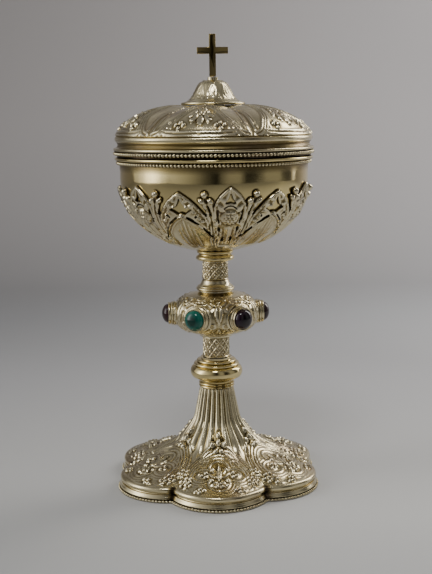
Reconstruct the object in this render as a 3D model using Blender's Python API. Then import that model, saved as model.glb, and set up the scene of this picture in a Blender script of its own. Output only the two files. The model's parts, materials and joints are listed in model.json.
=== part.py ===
"""Covered ciborium of silver gilt, 26 cm high, modelled in metres with +Z up.

The origin is on the table under the middle of the foot, and -Y is the front.
Angles round the upright axis are degrees from the front, growing towards +X.
"""

import math

import bmesh
import bpy
from mathutils import Matrix, Vector

MM = 0.001

# Fits
GAP = 0.3 * MM
BEZEL_CLEARANCE = 0.4 * MM
CALYX_STAND_OFF = 0.55 * MM
WELD = 0.001 * MM

# Facets
FOOT_COLUMNS = 48
CUP_COLUMNS = 36
KNOP_COLUMNS = 24
STEM_COLUMNS = 16
STONE_COLUMNS = 8

# How the pieces are turned on the screwed stem
KNOP_TURN = 33.0
CALYX_TURN = 8.4
LID_TURN = -9.0

# Foot
FOOT_LOBES = 6
FOOT_HEIGHT = 55.9 * MM
FOOT_REACH = 62.8 * MM
FOOT_LOBE_CENTRE = 32.7 * MM
FOOT_WALL = 1.2 * MM
FOOT_BAND_HEIGHT = 2.4 * MM
FOOT_BAND_TAPER = 1.0 * MM
FOOT_GROOVE_DEPTH = 1.9 * MM
FOOT_GROOVE_HEIGHT = 0.4 * MM
FOOT_ROLL_HEIGHT = 3.9 * MM
FOOT_ROLL_SETBACK = 0.5 * MM
FOOT_FIELD_SETBACK = 2.8 * MM
FOOT_NECK_RADIUS = 10.1 * MM
FOOT_FLUTES = 24
FLUTE_DEPTH = 1.5 * MM
ARCH_RELIEF = 1.1 * MM
LEAF_RELIEF = 1.5 * MM
FOOT_BEAD = 1.7 * MM
FOOT_BEAD_LIFT = 0.1 * MM

# The foot's slope from the rim to the neck: shares of its run and rise, and if the inside has a row there
FOOT_SLOPE = (
    (1.000, 0.000, False),
    (0.810, 0.070, True),
    (0.650, 0.120, False),
    (0.515, 0.170, False),
    (0.400, 0.223, True),
    (0.325, 0.270, False),
    (0.262, 0.330, False),
    (0.200, 0.420, True),
    (0.135, 0.510, False),
    (0.086, 0.590, True),
    (0.058, 0.700, False),
    (0.000, 1.000, False),
)
NOTCH_CURVE = 1.3
FLUTE_START = 0.2

# Lower collar and stem
COLLAR_RING_RADIUS = 10.5 * MM
COLLAR_RING_HEIGHT = 2.8 * MM
COLLAR_COVE_RADIUS = 9.8 * MM
COLLAR_COVE_HEIGHT = 2.8 * MM
CUSHION_EDGE_RADIUS = 13.2 * MM
CUSHION_RADIUS = 15.6 * MM
CUSHION_HEIGHT = 7.4 * MM
CUSHION_ROWS = 4
COLLAR_STEP_RADII = (13.4 * MM, 11.6 * MM, 9.2 * MM)
COLLAR_STEP_HEIGHTS = (2.0 * MM, 1.9 * MM, 1.3 * MM)
STEM_RADIUS = 8.0 * MM
LOWER_STEM_HEIGHT = 12.3 * MM

# Knop, settings and stones
KNOP_RADIUS = 26.0 * MM
KNOP_HEIGHT = 27.4 * MM
KNOP_EDGE_RADIUS = 10.4 * MM
KNOP_SQUARENESS = 2.3
KNOP_ROWS = 7
STONES = 6
SETTING_RADIUS = 7.35 * MM
SETTING_FACE = 28.3 * MM
SETTING_LENGTH = 6.0 * MM
SETTING_WALL = 1.4 * MM
SETTING_BEVEL = 0.9 * MM
SETTING_CUP_DEPTH = 1.8 * MM
STONE_DOME = 3.7 * MM
STONE_SHOULDER = 0.66
STONE_SHOULDER_HEIGHT = 0.75

# Upper stem and collar
UPPER_RING_RADIUS = 11.4 * MM
UPPER_RING_HEIGHT = 1.7 * MM
UPPER_STEP_RADIUS = 9.8 * MM
UPPER_STEP_HEIGHT = 1.6 * MM
UPPER_FLARE_RADIUS = 8.7 * MM
UPPER_FLARE_HEIGHT = 3.0 * MM
UPPER_TUBE_RADIUS = 7.8 * MM
UPPER_NECK_RADIUS = 7.4 * MM
UPPER_STEM_HEIGHT = 17.0 * MM
DISC_RADIUS = 11.3 * MM
DISC_HEIGHT = 3.4 * MM
DISC_GROOVE_RADIUS = 9.6 * MM
DISC_GROOVE_HEIGHT = 0.8 * MM
TOP_DISC_RADIUS = 10.7 * MM
TOP_DISC_HEIGHT = 2.2 * MM
BOWL_SEAT_RADIUS = 7.4 * MM
BOWL_SEAT_HEIGHT = 0.6 * MM

# Bowl and calyx
BOWL_RADIUS = 54.5 * MM
BOWL_DEPTH = 41.4 * MM
BOWL_WALL = 1.2 * MM
BOWL_SIDE_HEIGHT = 12.6 * MM
BOWL_ROWS = (9.5, 30.0, 52.0, 68.0, 79.0)
BOWL_INSIDE_ROWS = (70.0, 48.0, 24.0, 0.0)
LIP_OVERHANG = 3.0 * MM
LIP_HEIGHT = 2.2 * MM
BEAD_WIRE = 1.9 * MM
CALYX_THICKNESS = 0.8 * MM
CALYX_SECTORS = 6
CALYX_COLUMNS = 12
CALYX_SLOT = 1.5
CALYX_SLOT_SIDES = (2, 4)
CALYX_UPRIGHT = 90.0

# Heights of the calyx's edge from a leaf's tip to the next leaf's, as shares of the bowl's depth
CALYX_TIPS = (0.952, 0.87, 0.688, 0.903, 0.676, 0.85, 0.891)

# Lid
LID_LOBES = 6
LID_WALL_SETBACK = 1.5 * MM
LID_WALL_HEIGHT = 2.9 * MM
LID_FILLET_OVERHANG = 0.5 * MM
LID_FILLET_HEIGHT = 1.9 * MM
LID_BAND_SETBACK = 1.2 * MM
LID_BAND_HEIGHT = 3.0 * MM
LID_ROLL_SETBACK = 0.3 * MM
LID_ROLL_HEIGHT = 3.9 * MM
LID_RISE = 16.5 * MM
LID_THICKNESS = 1.2 * MM
BEZEL_DEPTH = 2.6 * MM
VALLEY_DEPTH = 2.2 * MM
VALLEY_CURVE = 2.5
VALLEY_RIM = 0.985
VALLEY_RIM_FADE = 0.1
VALLEY_TOP = 0.2
VALLEY_TOP_FADE = 0.35
LID_ARCH_RELIEF = 0.8 * MM

# The lid's dome from the roll to the middle: shares of its radius and rise, and if the inside has a row there
LID_DOME = (
    (0.990, 0.000, False),
    (0.962, 0.170, False),
    (0.905, 0.400, True),
    (0.822, 0.610, False),
    (0.725, 0.770, True),
    (0.612, 0.900, False),
    (0.480, 0.985, True),
    (0.330, 1.000, False),
)

# Finial and cross
FLANGE_RADIUS = 18.6 * MM
FLANGE_HEIGHT = 1.5 * MM
BELL_RADIUS = 14.7 * MM
BELL_HEIGHT = 12.4 * MM
PEG_RADIUS = 3.0 * MM
PEG_HEIGHT = 1.6 * MM
CROSS_HEIGHT = 24.0 * MM
CROSS_SPAN = 17.8 * MM
CROSS_BAR = 3.8 * MM
CROSS_THICKNESS = 2.8 * MM
CROSS_ARM_HEIGHT = 14.7 * MM

# The bell from its flared foot to its shoulder, as shares of its radius and its height
BELL_OUTLINE = (
    (1.000, 0.13),
    (0.857, 0.33),
    (0.762, 0.53),
    (0.680, 0.69),
    (0.571, 0.88),
    (0.435, 1.00),
)

# Radii that follow from the foot's reach and the bowl
FOOT_BASE_RADIUS = FOOT_REACH - FOOT_BAND_TAPER
FOOT_FIELD_RADIUS = FOOT_REACH - FOOT_FIELD_SETBACK
LIP_RADIUS = BOWL_RADIUS + LIP_OVERHANG
LID_WALL_RADIUS = LIP_RADIUS - LID_WALL_SETBACK
LID_FILLET_RADIUS = LIP_RADIUS + LID_FILLET_OVERHANG
LID_BAND_RADIUS = LIP_RADIUS - LID_BAND_SETBACK
LID_ROLL_RADIUS = LIP_RADIUS - LID_ROLL_SETBACK

# Heights where the stacked pieces start
FOOT_BAND_BASE = FOOT_BEAD_LIFT + FOOT_BEAD + GAP
FOOT_FIELD_HEIGHT = FOOT_BAND_BASE + FOOT_BAND_HEIGHT + FOOT_GROOVE_HEIGHT + FOOT_ROLL_HEIGHT
COLLAR_HEIGHT = COLLAR_RING_HEIGHT + COLLAR_COVE_HEIGHT + CUSHION_HEIGHT + sum(COLLAR_STEP_HEIGHTS)
COLLAR_BASE = FOOT_HEIGHT + GAP
STEM_BASE = COLLAR_BASE + COLLAR_HEIGHT + GAP
KNOP_BASE = STEM_BASE + LOWER_STEM_HEIGHT + GAP
UPPER_STEM_BASE = KNOP_BASE + KNOP_HEIGHT + GAP
UPPER_COLLAR_BASE = UPPER_STEM_BASE + UPPER_STEM_HEIGHT + GAP
UPPER_COLLAR_HEIGHT = DISC_HEIGHT + DISC_GROOVE_HEIGHT + TOP_DISC_HEIGHT
BOWL_BASE = UPPER_COLLAR_BASE + UPPER_COLLAR_HEIGHT + BOWL_SEAT_HEIGHT + GAP
BOWL_EQUATOR = BOWL_BASE + BOWL_DEPTH
LIP_BASE = BOWL_EQUATOR + BOWL_SIDE_HEIGHT - LIP_HEIGHT
LID_BASE = LIP_BASE + LIP_HEIGHT + GAP
LID_FILLET_BASE = LID_BASE + LID_WALL_HEIGHT
LID_BAND_BASE = LID_FILLET_BASE + LID_FILLET_HEIGHT
LID_DOME_BASE = LID_BAND_BASE + LID_BAND_HEIGHT + LID_ROLL_HEIGHT
FINIAL_BASE = LID_DOME_BASE + LID_RISE + GAP
CROSS_BASE = FINIAL_BASE + FLANGE_HEIGHT + BELL_HEIGHT + PEG_HEIGHT + GAP

# Finishes: colour, roughness and metallic value
GILT = ((0.62, 0.54, 0.34), 0.28, 1.0)
PALE_GILT = ((0.66, 0.60, 0.43), 0.32, 1.0)
DARK_GILT = ((0.36, 0.29, 0.15), 0.25, 1.0)
GREEN_STONE = ((0.0, 0.16, 0.11), 0.08, 0.0)
PURPLE_STONE = ((0.035, 0.008, 0.03), 0.08, 0.0)
RED_STONE = ((0.05, 0.004, 0.008), 0.08, 0.0)


def material(name, finish):
    """Make one finish, a Principled surface with its colour, roughness and metal."""
    colour, roughness, metallic = finish
    result = bpy.data.materials.new(name)
    result.use_nodes = True
    shader = result.node_tree.nodes["Principled BSDF"]
    shader.inputs["Base Color"].default_value = (*colour, 1.0)
    shader.inputs["Roughness"].default_value = roughness
    shader.inputs["Metallic"].default_value = metallic
    return result


def solid(name, bm, finish, smooth_angle=25.0):
    """Turn a closed bmesh into a named object with its own material, its faces outwards."""
    bmesh.ops.recalc_face_normals(bm, faces=bm.faces[:])
    if bm.calc_volume(signed=True) < 0.0:
        bmesh.ops.reverse_faces(bm, faces=bm.faces[:])
    mesh = bpy.data.meshes.new(name)
    bm.to_mesh(mesh)
    bm.free()
    mesh.shade_smooth()
    mesh.set_sharp_from_angle(angle=math.radians(smooth_angle))
    mesh.materials.append(material(name + "_finish", finish))
    result = bpy.data.objects.new(name, mesh)
    bpy.context.collection.objects.link(result)
    return result


def on_axis(azimuth, radius, height):
    """Give the point at an angle from the front, a radius and a height."""
    angle = math.radians(azimuth)
    return Vector((radius * math.sin(angle), -radius * math.cos(angle), height))


def azimuth_of(point):
    """Give a point's angle from the front, in degrees."""
    return math.degrees(math.atan2(point.x, -point.y))


def folded(azimuth, repeats):
    """Fold an angle into the repeat round 0, as degrees from the repeat's middle."""
    pitch = 360.0 / repeats
    return (azimuth + pitch / 2.0) % pitch - pitch / 2.0


def turned(outline, columns, turn=0.0, ring=False):
    """Spin (radius, height) points once round the upright axis, each with its row number."""
    bm = bmesh.new()
    row_layer = bm.verts.layers.int.new("row")
    chain = []
    for row, (radius, height) in enumerate(outline):
        vert = bm.verts.new(on_axis(turn, radius, height))
        vert[row_layer] = row
        chain.append(vert)
    edges = [bm.edges.new(pair) for pair in zip(chain, chain[1:])]
    if ring:
        edges.append(bm.edges.new((chain[-1], chain[0])))
    bmesh.ops.spin(
        bm,
        geom=chain + edges,
        cent=(0.0, 0.0, 0.0),
        axis=(0.0, 0.0, 1.0),
        angle=math.tau,
        steps=columns,
        use_merge=True,
    )
    bmesh.ops.remove_doubles(bm, verts=bm.verts[:], dist=WELD)
    return bm


def bulge(base, height, edge_radius, full_radius, steps):
    """Give a half-round moulding's points, from its lower edge to its upper edge."""
    points = []
    for step in range(steps + 1):
        angle = math.pi * step / steps
        radius = edge_radius + (full_radius - edge_radius) * math.sin(angle)
        points.append((radius, base + height * (1.0 - math.cos(angle)) / 2.0))
    return points


def closed_on_axis(points):
    """Carry an outline's two ends to the axis."""
    return [(0.0, points[0][1])] + list(points) + [(0.0, points[-1][1])]


def lobed_radius(angle, lobe_radius):
    """Give the distance from the axis to a lobe's circle at an angle from the lobe's middle."""
    slant = math.radians(angle)
    reach = lobe_radius**2 - (FOOT_LOBE_CENTRE * math.sin(slant)) ** 2
    return FOOT_LOBE_CENTRE * math.cos(slant) + math.sqrt(max(reach, 0.0))


def foot_radius(radius, azimuth):
    """Give the radius at an angle of the ring whose radius at a lobe's middle is known."""
    angle = folded(azimuth, FOOT_LOBES)
    if radius >= FOOT_FIELD_RADIUS:
        return lobed_radius(angle, radius - FOOT_LOBE_CENTRE)
    notch = lobed_radius(angle, FOOT_FIELD_RADIUS - FOOT_LOBE_CENTRE) / FOOT_FIELD_RADIUS
    share = (radius - FOOT_NECK_RADIUS) / (FOOT_FIELD_RADIUS - FOOT_NECK_RADIUS)
    blend = max(share, 0.0) ** NOTCH_CURVE
    return radius * (1.0 - blend * (1.0 - notch))


def foot_slope():
    """Give the slope's points from the rim to the neck."""
    run = FOOT_FIELD_RADIUS - FOOT_NECK_RADIUS
    rise = FOOT_HEIGHT - FOOT_FIELD_HEIGHT
    return [(FOOT_NECK_RADIUS + out * run, FOOT_FIELD_HEIGHT + up * rise) for out, up, _ in FOOT_SLOPE]


def moved_inwards(points, row, depth):
    """Give an outline's point moved square to the outline into the metal by a depth."""
    before, after = points[max(row - 1, 0)], points[min(row + 1, len(points) - 1)]
    along = Vector((after[0] - before[0], after[1] - before[1])).normalized()
    radius, height = points[row]
    return radius - along.y * depth, height + along.x * depth


def rows_inside(points, table, depth):
    """Give the points behind the rows of a skin that its table marks for the inside."""
    return [moved_inwards(points, row, depth) for row, entry in enumerate(table) if entry[-1]]


def foot_arch(columns, row):
    """Say whether a node of the foot's slope lies on a lobe's pointed arch."""
    return (columns, row) in ((0, 6), (1, 5), (2, 4), (3, 3), (4, 2), (4, 1))


def foot_leaf(columns, row):
    """Say whether a cell of the foot's slope carries a leaf or a rosette."""
    return (columns, row) in ((0, 1), (0, 2), (1, 0), (3, 1), (3, 2), (0, 5))


def build_foot():
    """Make the six-lobed foot, hollow underneath, with arches, leaves and a fluted trumpet."""
    slope = foot_slope()
    band_top = FOOT_BAND_BASE + FOOT_BAND_HEIGHT
    roll_base = band_top + FOOT_GROOVE_HEIGHT
    roll_radius = FOOT_REACH - FOOT_ROLL_SETBACK
    rim = [
        (FOOT_BASE_RADIUS, 0.0),
        (FOOT_BASE_RADIUS, FOOT_BAND_BASE),
        (FOOT_REACH, FOOT_BAND_BASE),
        (FOOT_REACH - FOOT_BAND_TAPER, band_top),
        (FOOT_REACH - FOOT_GROOVE_DEPTH, band_top + FOOT_GROOVE_HEIGHT / 2.0),
        (roll_radius, roll_base + FOOT_ROLL_HEIGHT * 0.3),
        (roll_radius, roll_base + FOOT_ROLL_HEIGHT * 0.65),
    ]
    inner_rim = FOOT_REACH - FOOT_GROOVE_DEPTH - FOOT_WALL
    inside = rows_inside(slope, FOOT_SLOPE, FOOT_WALL)
    inside_top = FOOT_HEIGHT - FOOT_WALL
    inside.append((FOOT_NECK_RADIUS - FOOT_WALL, inside_top))
    inside = [(inner_rim, 0.0), (inner_rim, FOOT_FIELD_HEIGHT - FOOT_WALL)] + inside
    outline = [(0.0, inside_top)] + inside[::-1] + rim + slope + [(0.0, FOOT_HEIGHT)]
    bm = turned(outline, FOOT_COLUMNS)

    row_layer = bm.verts.layers.int["row"]
    first_row = 1 + len(inside) + len(rim)
    pitch = 360.0 / FOOT_COLUMNS
    nodes = {}
    for vert in bm.verts:
        row = vert[row_layer] - first_row
        azimuth = azimuth_of(vert.co)
        radius = Vector((vert.co.x, vert.co.y)).length
        height = vert.co.z
        if radius > WELD:
            radius = foot_radius(radius, azimuth)
        if 0 <= row < len(slope):
            angle = folded(azimuth, FOOT_LOBES)
            columns = abs(round(angle / pitch))
            nodes[vert] = (round(azimuth / pitch), row)
            share = FOOT_SLOPE[row][1]
            fade = max(0.0, math.sin(math.pi * (share - FLUTE_START) / (1.0 - FLUTE_START)))
            radius += FLUTE_DEPTH / 2.0 * fade * math.cos(math.radians(azimuth * FOOT_FLUTES))
            if foot_arch(columns, row):
                height += ARCH_RELIEF
            if (columns, row) == (0, 2):
                height += LEAF_RELIEF
        vert.co = on_axis(azimuth, radius, height)

    leaves = []
    for face in bm.faces:
        if not all(vert in nodes for vert in face.verts):
            continue
        row = min(nodes[vert][1] for vert in face.verts)
        angle = folded(azimuth_of(face.calc_center_median()), FOOT_LOBES)
        if foot_leaf(int(abs(angle) / pitch), row):
            leaves.append(face)
    bmesh.ops.recalc_face_normals(bm, faces=bm.faces[:])
    bmesh.ops.poke(bm, faces=leaves, offset=LEAF_RELIEF, center_mode="MEAN")
    return solid("foot", bm, PALE_GILT)


def build_bead_wire(name, radius, base, wire, shape=None):
    """Make a beaded wire's plain ring, three-sided, with its back and underside flat."""
    outline = [(radius, base), (radius + wire, base + wire / 2.0), (radius, base + wire)]
    columns = FOOT_COLUMNS if shape else CUP_COLUMNS
    bm = turned(outline, columns, ring=True)
    if shape:
        for vert in bm.verts:
            azimuth = azimuth_of(vert.co)
            radius_here = Vector((vert.co.x, vert.co.y)).length
            vert.co = on_axis(azimuth, shape(radius_here, azimuth), vert.co.z)
    return solid(name, bm, PALE_GILT)


def build_lower_collar():
    """Make the moulding over the foot: ring, cove, cushion and steps."""
    cove_base = COLLAR_BASE + COLLAR_RING_HEIGHT
    cushion_base = cove_base + COLLAR_COVE_HEIGHT
    points = [
        (COLLAR_RING_RADIUS, COLLAR_BASE),
        (COLLAR_RING_RADIUS, cove_base),
        (COLLAR_COVE_RADIUS, cove_base + COLLAR_COVE_HEIGHT * 0.3),
    ]
    points += bulge(cushion_base, CUSHION_HEIGHT, CUSHION_EDGE_RADIUS, CUSHION_RADIUS, CUSHION_ROWS)
    height = cushion_base + CUSHION_HEIGHT
    for radius, step in zip(COLLAR_STEP_RADII, COLLAR_STEP_HEIGHTS):
        points += [(radius, height), (radius, height + step)]
        height += step
    return solid("lower_collar", turned(closed_on_axis(points), STEM_COLUMNS), GILT)


def build_lower_stem():
    """Make the engraved tube under the knop."""
    points = [(STEM_RADIUS, STEM_BASE), (STEM_RADIUS, STEM_BASE + LOWER_STEM_HEIGHT)]
    return solid("lower_stem", turned(closed_on_axis(points), STEM_COLUMNS), PALE_GILT)


def outwards(azimuth, height):
    """Give the frame whose Z axis points out of the knop at an angle."""
    lean = Matrix.Rotation(math.radians(90.0), 4, "X")
    return Matrix.Translation((0.0, 0.0, height)) @ Matrix.Rotation(math.radians(azimuth), 4, "Z") @ lean


def seat_cutter(azimuth, height):
    """Make the hidden cylinder that cuts one setting's seat into the knop."""
    bm = bmesh.new()
    seat = SETTING_FACE - SETTING_LENGTH - GAP
    depth = KNOP_RADIUS + SETTING_FACE - seat
    bmesh.ops.create_cone(
        bm,
        cap_ends=True,
        segments=STONE_COLUMNS,
        radius1=SETTING_RADIUS + GAP,
        radius2=SETTING_RADIUS + GAP,
        depth=depth,
        matrix=outwards(azimuth, height) @ Matrix.Translation((0.0, 0.0, seat + depth / 2.0)),
    )
    mesh = bpy.data.meshes.new("seat_cutter")
    bm.to_mesh(mesh)
    bm.free()
    cutter = bpy.data.objects.new("seat_cutter", mesh)
    cutter.hide_render = True
    cutter.display_type = "WIRE"
    bpy.context.collection.objects.link(cutter)
    return cutter


def build_knop():
    """Make the oblate knop with a round seat for each setting."""
    middle = KNOP_BASE + KNOP_HEIGHT / 2.0
    points = []
    for row in range(KNOP_ROWS + 1):
        level = -math.cos(math.pi * row / KNOP_ROWS)
        swell = (1.0 - abs(level) ** KNOP_SQUARENESS) ** (1.0 / KNOP_SQUARENESS)
        radius = max(KNOP_RADIUS * swell, KNOP_EDGE_RADIUS)
        points.append((radius, middle + level * KNOP_HEIGHT / 2.0))
    knop = solid("knop", turned(closed_on_axis(points), KNOP_COLUMNS, KNOP_TURN), PALE_GILT)
    for index in range(STONES):
        cut = knop.modifiers.new("seat_%d" % (index + 1), "BOOLEAN")
        cut.operation = "DIFFERENCE"
        cut.solver = "EXACT"
        cut.object = seat_cutter(KNOP_TURN + index * 360.0 / STONES, middle)
    return knop


def build_setting(index):
    """Make one round metal setting and the domed stone that sits in its cup."""
    placed = outwards(KNOP_TURN + index * 360.0 / STONES, KNOP_BASE + KNOP_HEIGHT / 2.0)
    back = SETTING_FACE - SETTING_LENGTH
    cup = SETTING_RADIUS - SETTING_WALL
    floor = SETTING_FACE - SETTING_CUP_DEPTH
    collet = [
        (0.0, back),
        (SETTING_RADIUS, back),
        (SETTING_RADIUS, SETTING_FACE - SETTING_BEVEL),
        (SETTING_RADIUS - SETTING_BEVEL, SETTING_FACE),
        (cup, SETTING_FACE),
        (cup, floor),
        (0.0, floor),
    ]
    bm = turned(collet, STONE_COLUMNS)
    bm.transform(placed)
    solid("setting_%d" % (index + 1), bm, GILT)

    radius = cup - GAP
    stone = [
        (0.0, floor + GAP),
        (radius, floor + GAP),
        (radius, SETTING_FACE),
        (radius * STONE_SHOULDER, SETTING_FACE + STONE_DOME * STONE_SHOULDER_HEIGHT),
        (0.0, SETTING_FACE + STONE_DOME),
    ]
    bm = turned(stone, STONE_COLUMNS)
    bm.transform(placed)
    finish = {5: GREEN_STONE, 0: PURPLE_STONE}.get(index, RED_STONE)
    solid("cabochon_%d" % (index + 1), bm, finish)


def build_upper_stem():
    """Make the tube over the knop: two rings, a flare and a slender neck."""
    step_base = UPPER_STEM_BASE + UPPER_RING_HEIGHT
    flare_base = step_base + UPPER_STEP_HEIGHT
    points = [
        (UPPER_RING_RADIUS, UPPER_STEM_BASE),
        (UPPER_RING_RADIUS, step_base),
        (UPPER_STEP_RADIUS, step_base),
        (UPPER_STEP_RADIUS, flare_base),
        (UPPER_FLARE_RADIUS, flare_base),
        (UPPER_TUBE_RADIUS, flare_base + UPPER_FLARE_HEIGHT),
        (UPPER_NECK_RADIUS, UPPER_STEM_BASE + UPPER_STEM_HEIGHT),
    ]
    return solid("upper_stem", turned(closed_on_axis(points), STEM_COLUMNS), PALE_GILT)


def build_upper_collar():
    """Make the double disc under the bowl, with the seat that the bowl is screwed to."""
    groove_base = UPPER_COLLAR_BASE + DISC_HEIGHT
    top_disc_base = groove_base + DISC_GROOVE_HEIGHT
    top = top_disc_base + TOP_DISC_HEIGHT
    points = [
        (DISC_RADIUS, UPPER_COLLAR_BASE),
        (DISC_RADIUS, groove_base),
        (DISC_GROOVE_RADIUS, groove_base),
        (DISC_GROOVE_RADIUS, top_disc_base),
        (TOP_DISC_RADIUS, top_disc_base),
        (TOP_DISC_RADIUS, top),
        (BOWL_SEAT_RADIUS, top),
        (BOWL_SEAT_RADIUS, top + BOWL_SEAT_HEIGHT),
    ]
    return solid("upper_collar", turned(closed_on_axis(points), STEM_COLUMNS), GILT)


def bowl_point(slant, shrink=0.0):
    """Give the (radius, height) of the bowl's half-ellipse at an angle from its bottom."""
    angle = math.radians(slant)
    radius = (BOWL_RADIUS - shrink) * math.sin(angle)
    return radius, BOWL_EQUATOR - (BOWL_DEPTH - shrink) * math.cos(angle)


def build_bowl():
    """Make the plain hollow cup with its moulded lip."""
    lip_top = LIP_BASE + LIP_HEIGHT
    inner = BOWL_RADIUS - BOWL_WALL
    outside = [bowl_point(0.0)] + [bowl_point(slant) for slant in BOWL_ROWS]
    outside += [
        (BOWL_RADIUS, BOWL_EQUATOR),
        (BOWL_RADIUS, LIP_BASE),
        (LIP_RADIUS, LIP_BASE + GAP),
        (LIP_RADIUS, lip_top),
    ]
    inside = [(inner, lip_top), (inner, BOWL_EQUATOR)]
    inside += [bowl_point(slant, BOWL_WALL) for slant in BOWL_INSIDE_ROWS]
    return solid("bowl", turned(outside + inside, CUP_COLUMNS, CALYX_TURN), GILT)


def calyx_column(column, row):
    """Give a calyx line's angle from its sector's middle, drawn in beside a slot."""
    pitch = 360.0 / (CALYX_SECTORS * CALYX_COLUMNS)
    inner, outer = CALYX_SLOT_SIDES
    if row in (1, 2) and abs(column) == inner - 1:
        return math.copysign(inner * pitch - CALYX_SLOT, column)
    if row in (1, 2) and abs(column) == outer + 1:
        return math.copysign(outer * pitch + CALYX_SLOT, column)
    return column * pitch


def calyx_pierced(column, row):
    """Say whether a cell of the calyx is cut away, as a window or a slot."""
    step = min(abs(column), abs(column + 1))
    window = row == 3 and step in (0, 5)
    slot = row == 1 and step in (1, 4)
    return window or slot


def build_calyx():
    """Make the pierced leaf work on the bowl: twelve pointed leaves and twelve sprigs."""
    bm = bmesh.new()
    rows = len(BOWL_ROWS)
    lift = CALYX_STAND_OFF + CALYX_THICKNESS
    half = CALYX_COLUMNS // 2
    grid = {}
    for column in range(-half, half + 1):
        tip = BOWL_BASE + CALYX_TIPS[abs(column)] * BOWL_DEPTH
        for row in range(rows + 1):
            slant = BOWL_ROWS[min(row, rows - 1)]
            radius, height = bowl_point(slant)
            if row == rows or height > tip:
                low, high = (slant, CALYX_UPRIGHT) if height <= tip else (BOWL_ROWS[-2], slant)
                low_point, high_point = bowl_point(low), bowl_point(high)
                share = (tip - low_point[1]) / (high_point[1] - low_point[1])
                radius = low_point[0] + share * (high_point[0] - low_point[0])
                height = tip
                slant = low + share * (high - low)
            out = math.radians(slant)
            radius += lift * math.sin(out)
            height -= lift * math.cos(out)
            grid[column, row] = bm.verts.new(on_axis(calyx_column(column, row), radius, height))
    for column in range(-half, half):
        for row in range(rows):
            if calyx_pierced(column, row):
                continue
            corners = [(column, row), (column + 1, row), (column + 1, row + 1), (column, row + 1)]
            bm.faces.new([grid[corner] for corner in corners])
    bmesh.ops.spin(
        bm,
        geom=bm.verts[:] + bm.edges[:] + bm.faces[:],
        cent=(0.0, 0.0, 0.0),
        axis=(0.0, 0.0, 1.0),
        angle=math.tau * (CALYX_SECTORS - 1) / CALYX_SECTORS,
        steps=CALYX_SECTORS - 1,
        use_duplicate=True,
    )
    bmesh.ops.remove_doubles(bm, verts=bm.verts[:], dist=WELD * 10.0)
    bmesh.ops.dissolve_degenerate(bm, edges=bm.edges[:], dist=WELD)
    bmesh.ops.rotate(bm, verts=bm.verts[:], matrix=Matrix.Rotation(math.radians(CALYX_TURN), 3, "Z"))
    bmesh.ops.recalc_face_normals(bm, faces=bm.faces[:])
    bmesh.ops.solidify(bm, geom=bm.faces[:], thickness=CALYX_THICKNESS)
    return solid("calyx", bm, PALE_GILT)


def lid_drop(radius, azimuth):
    """Give how far the lid's skin lies under the crest of its lobe."""
    angle = abs(folded(azimuth - LID_TURN, LID_LOBES)) / (180.0 / LID_LOBES)
    share = radius / LID_ROLL_RADIUS
    rim_fade = min(1.0, max(0.0, (VALLEY_RIM - share) / VALLEY_RIM_FADE))
    top_fade = min(1.0, max(0.0, (share - VALLEY_TOP) / VALLEY_TOP_FADE))
    return VALLEY_DEPTH * rim_fade * top_fade * angle**VALLEY_CURVE


def build_lid():
    """Make the six-lobed cover with its moulded rim and the bezel that drops into the bowl."""
    dome = [(LID_ROLL_RADIUS * out, LID_DOME_BASE + LID_RISE * up) for out, up, _ in LID_DOME]
    bezel_outer = BOWL_RADIUS - BOWL_WALL - BEZEL_CLEARANCE
    bezel_inner = bezel_outer - LID_THICKNESS
    roll_base = LID_BAND_BASE + LID_BAND_HEIGHT
    rim = [
        (bezel_inner, LID_BASE - BEZEL_DEPTH),
        (bezel_outer, LID_BASE - BEZEL_DEPTH),
        (bezel_outer, LID_BASE),
        (LID_WALL_RADIUS, LID_BASE),
        (LID_WALL_RADIUS, LID_FILLET_BASE),
        (LID_FILLET_RADIUS, LID_FILLET_BASE + GAP),
        (LID_FILLET_RADIUS, LID_BAND_BASE - GAP),
        (LID_BAND_RADIUS, LID_BAND_BASE),
        (LID_BAND_RADIUS - GAP, roll_base),
        (LID_ROLL_RADIUS, roll_base + LID_ROLL_HEIGHT * 0.5),
    ]
    inside = [(0.0, LID_DOME_BASE + LID_RISE - LID_THICKNESS)]
    inside += rows_inside(dome, LID_DOME, LID_THICKNESS)[::-1]
    inside.append((bezel_inner, LID_DOME_BASE))
    outline = inside + rim + dome + [(0.0, LID_DOME_BASE + LID_RISE)]
    bm = turned(outline, CUP_COLUMNS, LID_TURN)

    row_layer = bm.verts.layers.int["row"]
    first_row = len(inside) + len(rim)
    pitch = 360.0 / CUP_COLUMNS
    nodes = {}
    for vert in bm.verts:
        azimuth = azimuth_of(vert.co)
        radius = Vector((vert.co.x, vert.co.y)).length
        row = vert[row_layer] - first_row
        height = vert.co.z
        if not -len(rim) <= row < 0:
            height -= lid_drop(radius, azimuth)
        if 0 <= row < len(dome):
            columns = abs(round(folded(azimuth - LID_TURN, LID_LOBES) / pitch))
            nodes[vert] = row
            if (columns, row) in ((0, 4), (1, 3), (2, 2)):
                height += LID_ARCH_RELIEF
        if radius > WELD:
            vert.co = on_axis(azimuth, radius, height)
    leaves = []
    for face in bm.faces:
        if not all(vert in nodes for vert in face.verts):
            continue
        row = min(nodes[vert] for vert in face.verts)
        angle = folded(azimuth_of(face.calc_center_median()) - LID_TURN, LID_LOBES)
        if (int(abs(angle) / pitch), row) in ((0, 1), (1, 1)):
            leaves.append(face)
    bmesh.ops.recalc_face_normals(bm, faces=bm.faces[:])
    bmesh.ops.poke(bm, faces=leaves, offset=LID_ARCH_RELIEF, center_mode="MEAN")
    return solid("lid", bm, PALE_GILT)


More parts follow.
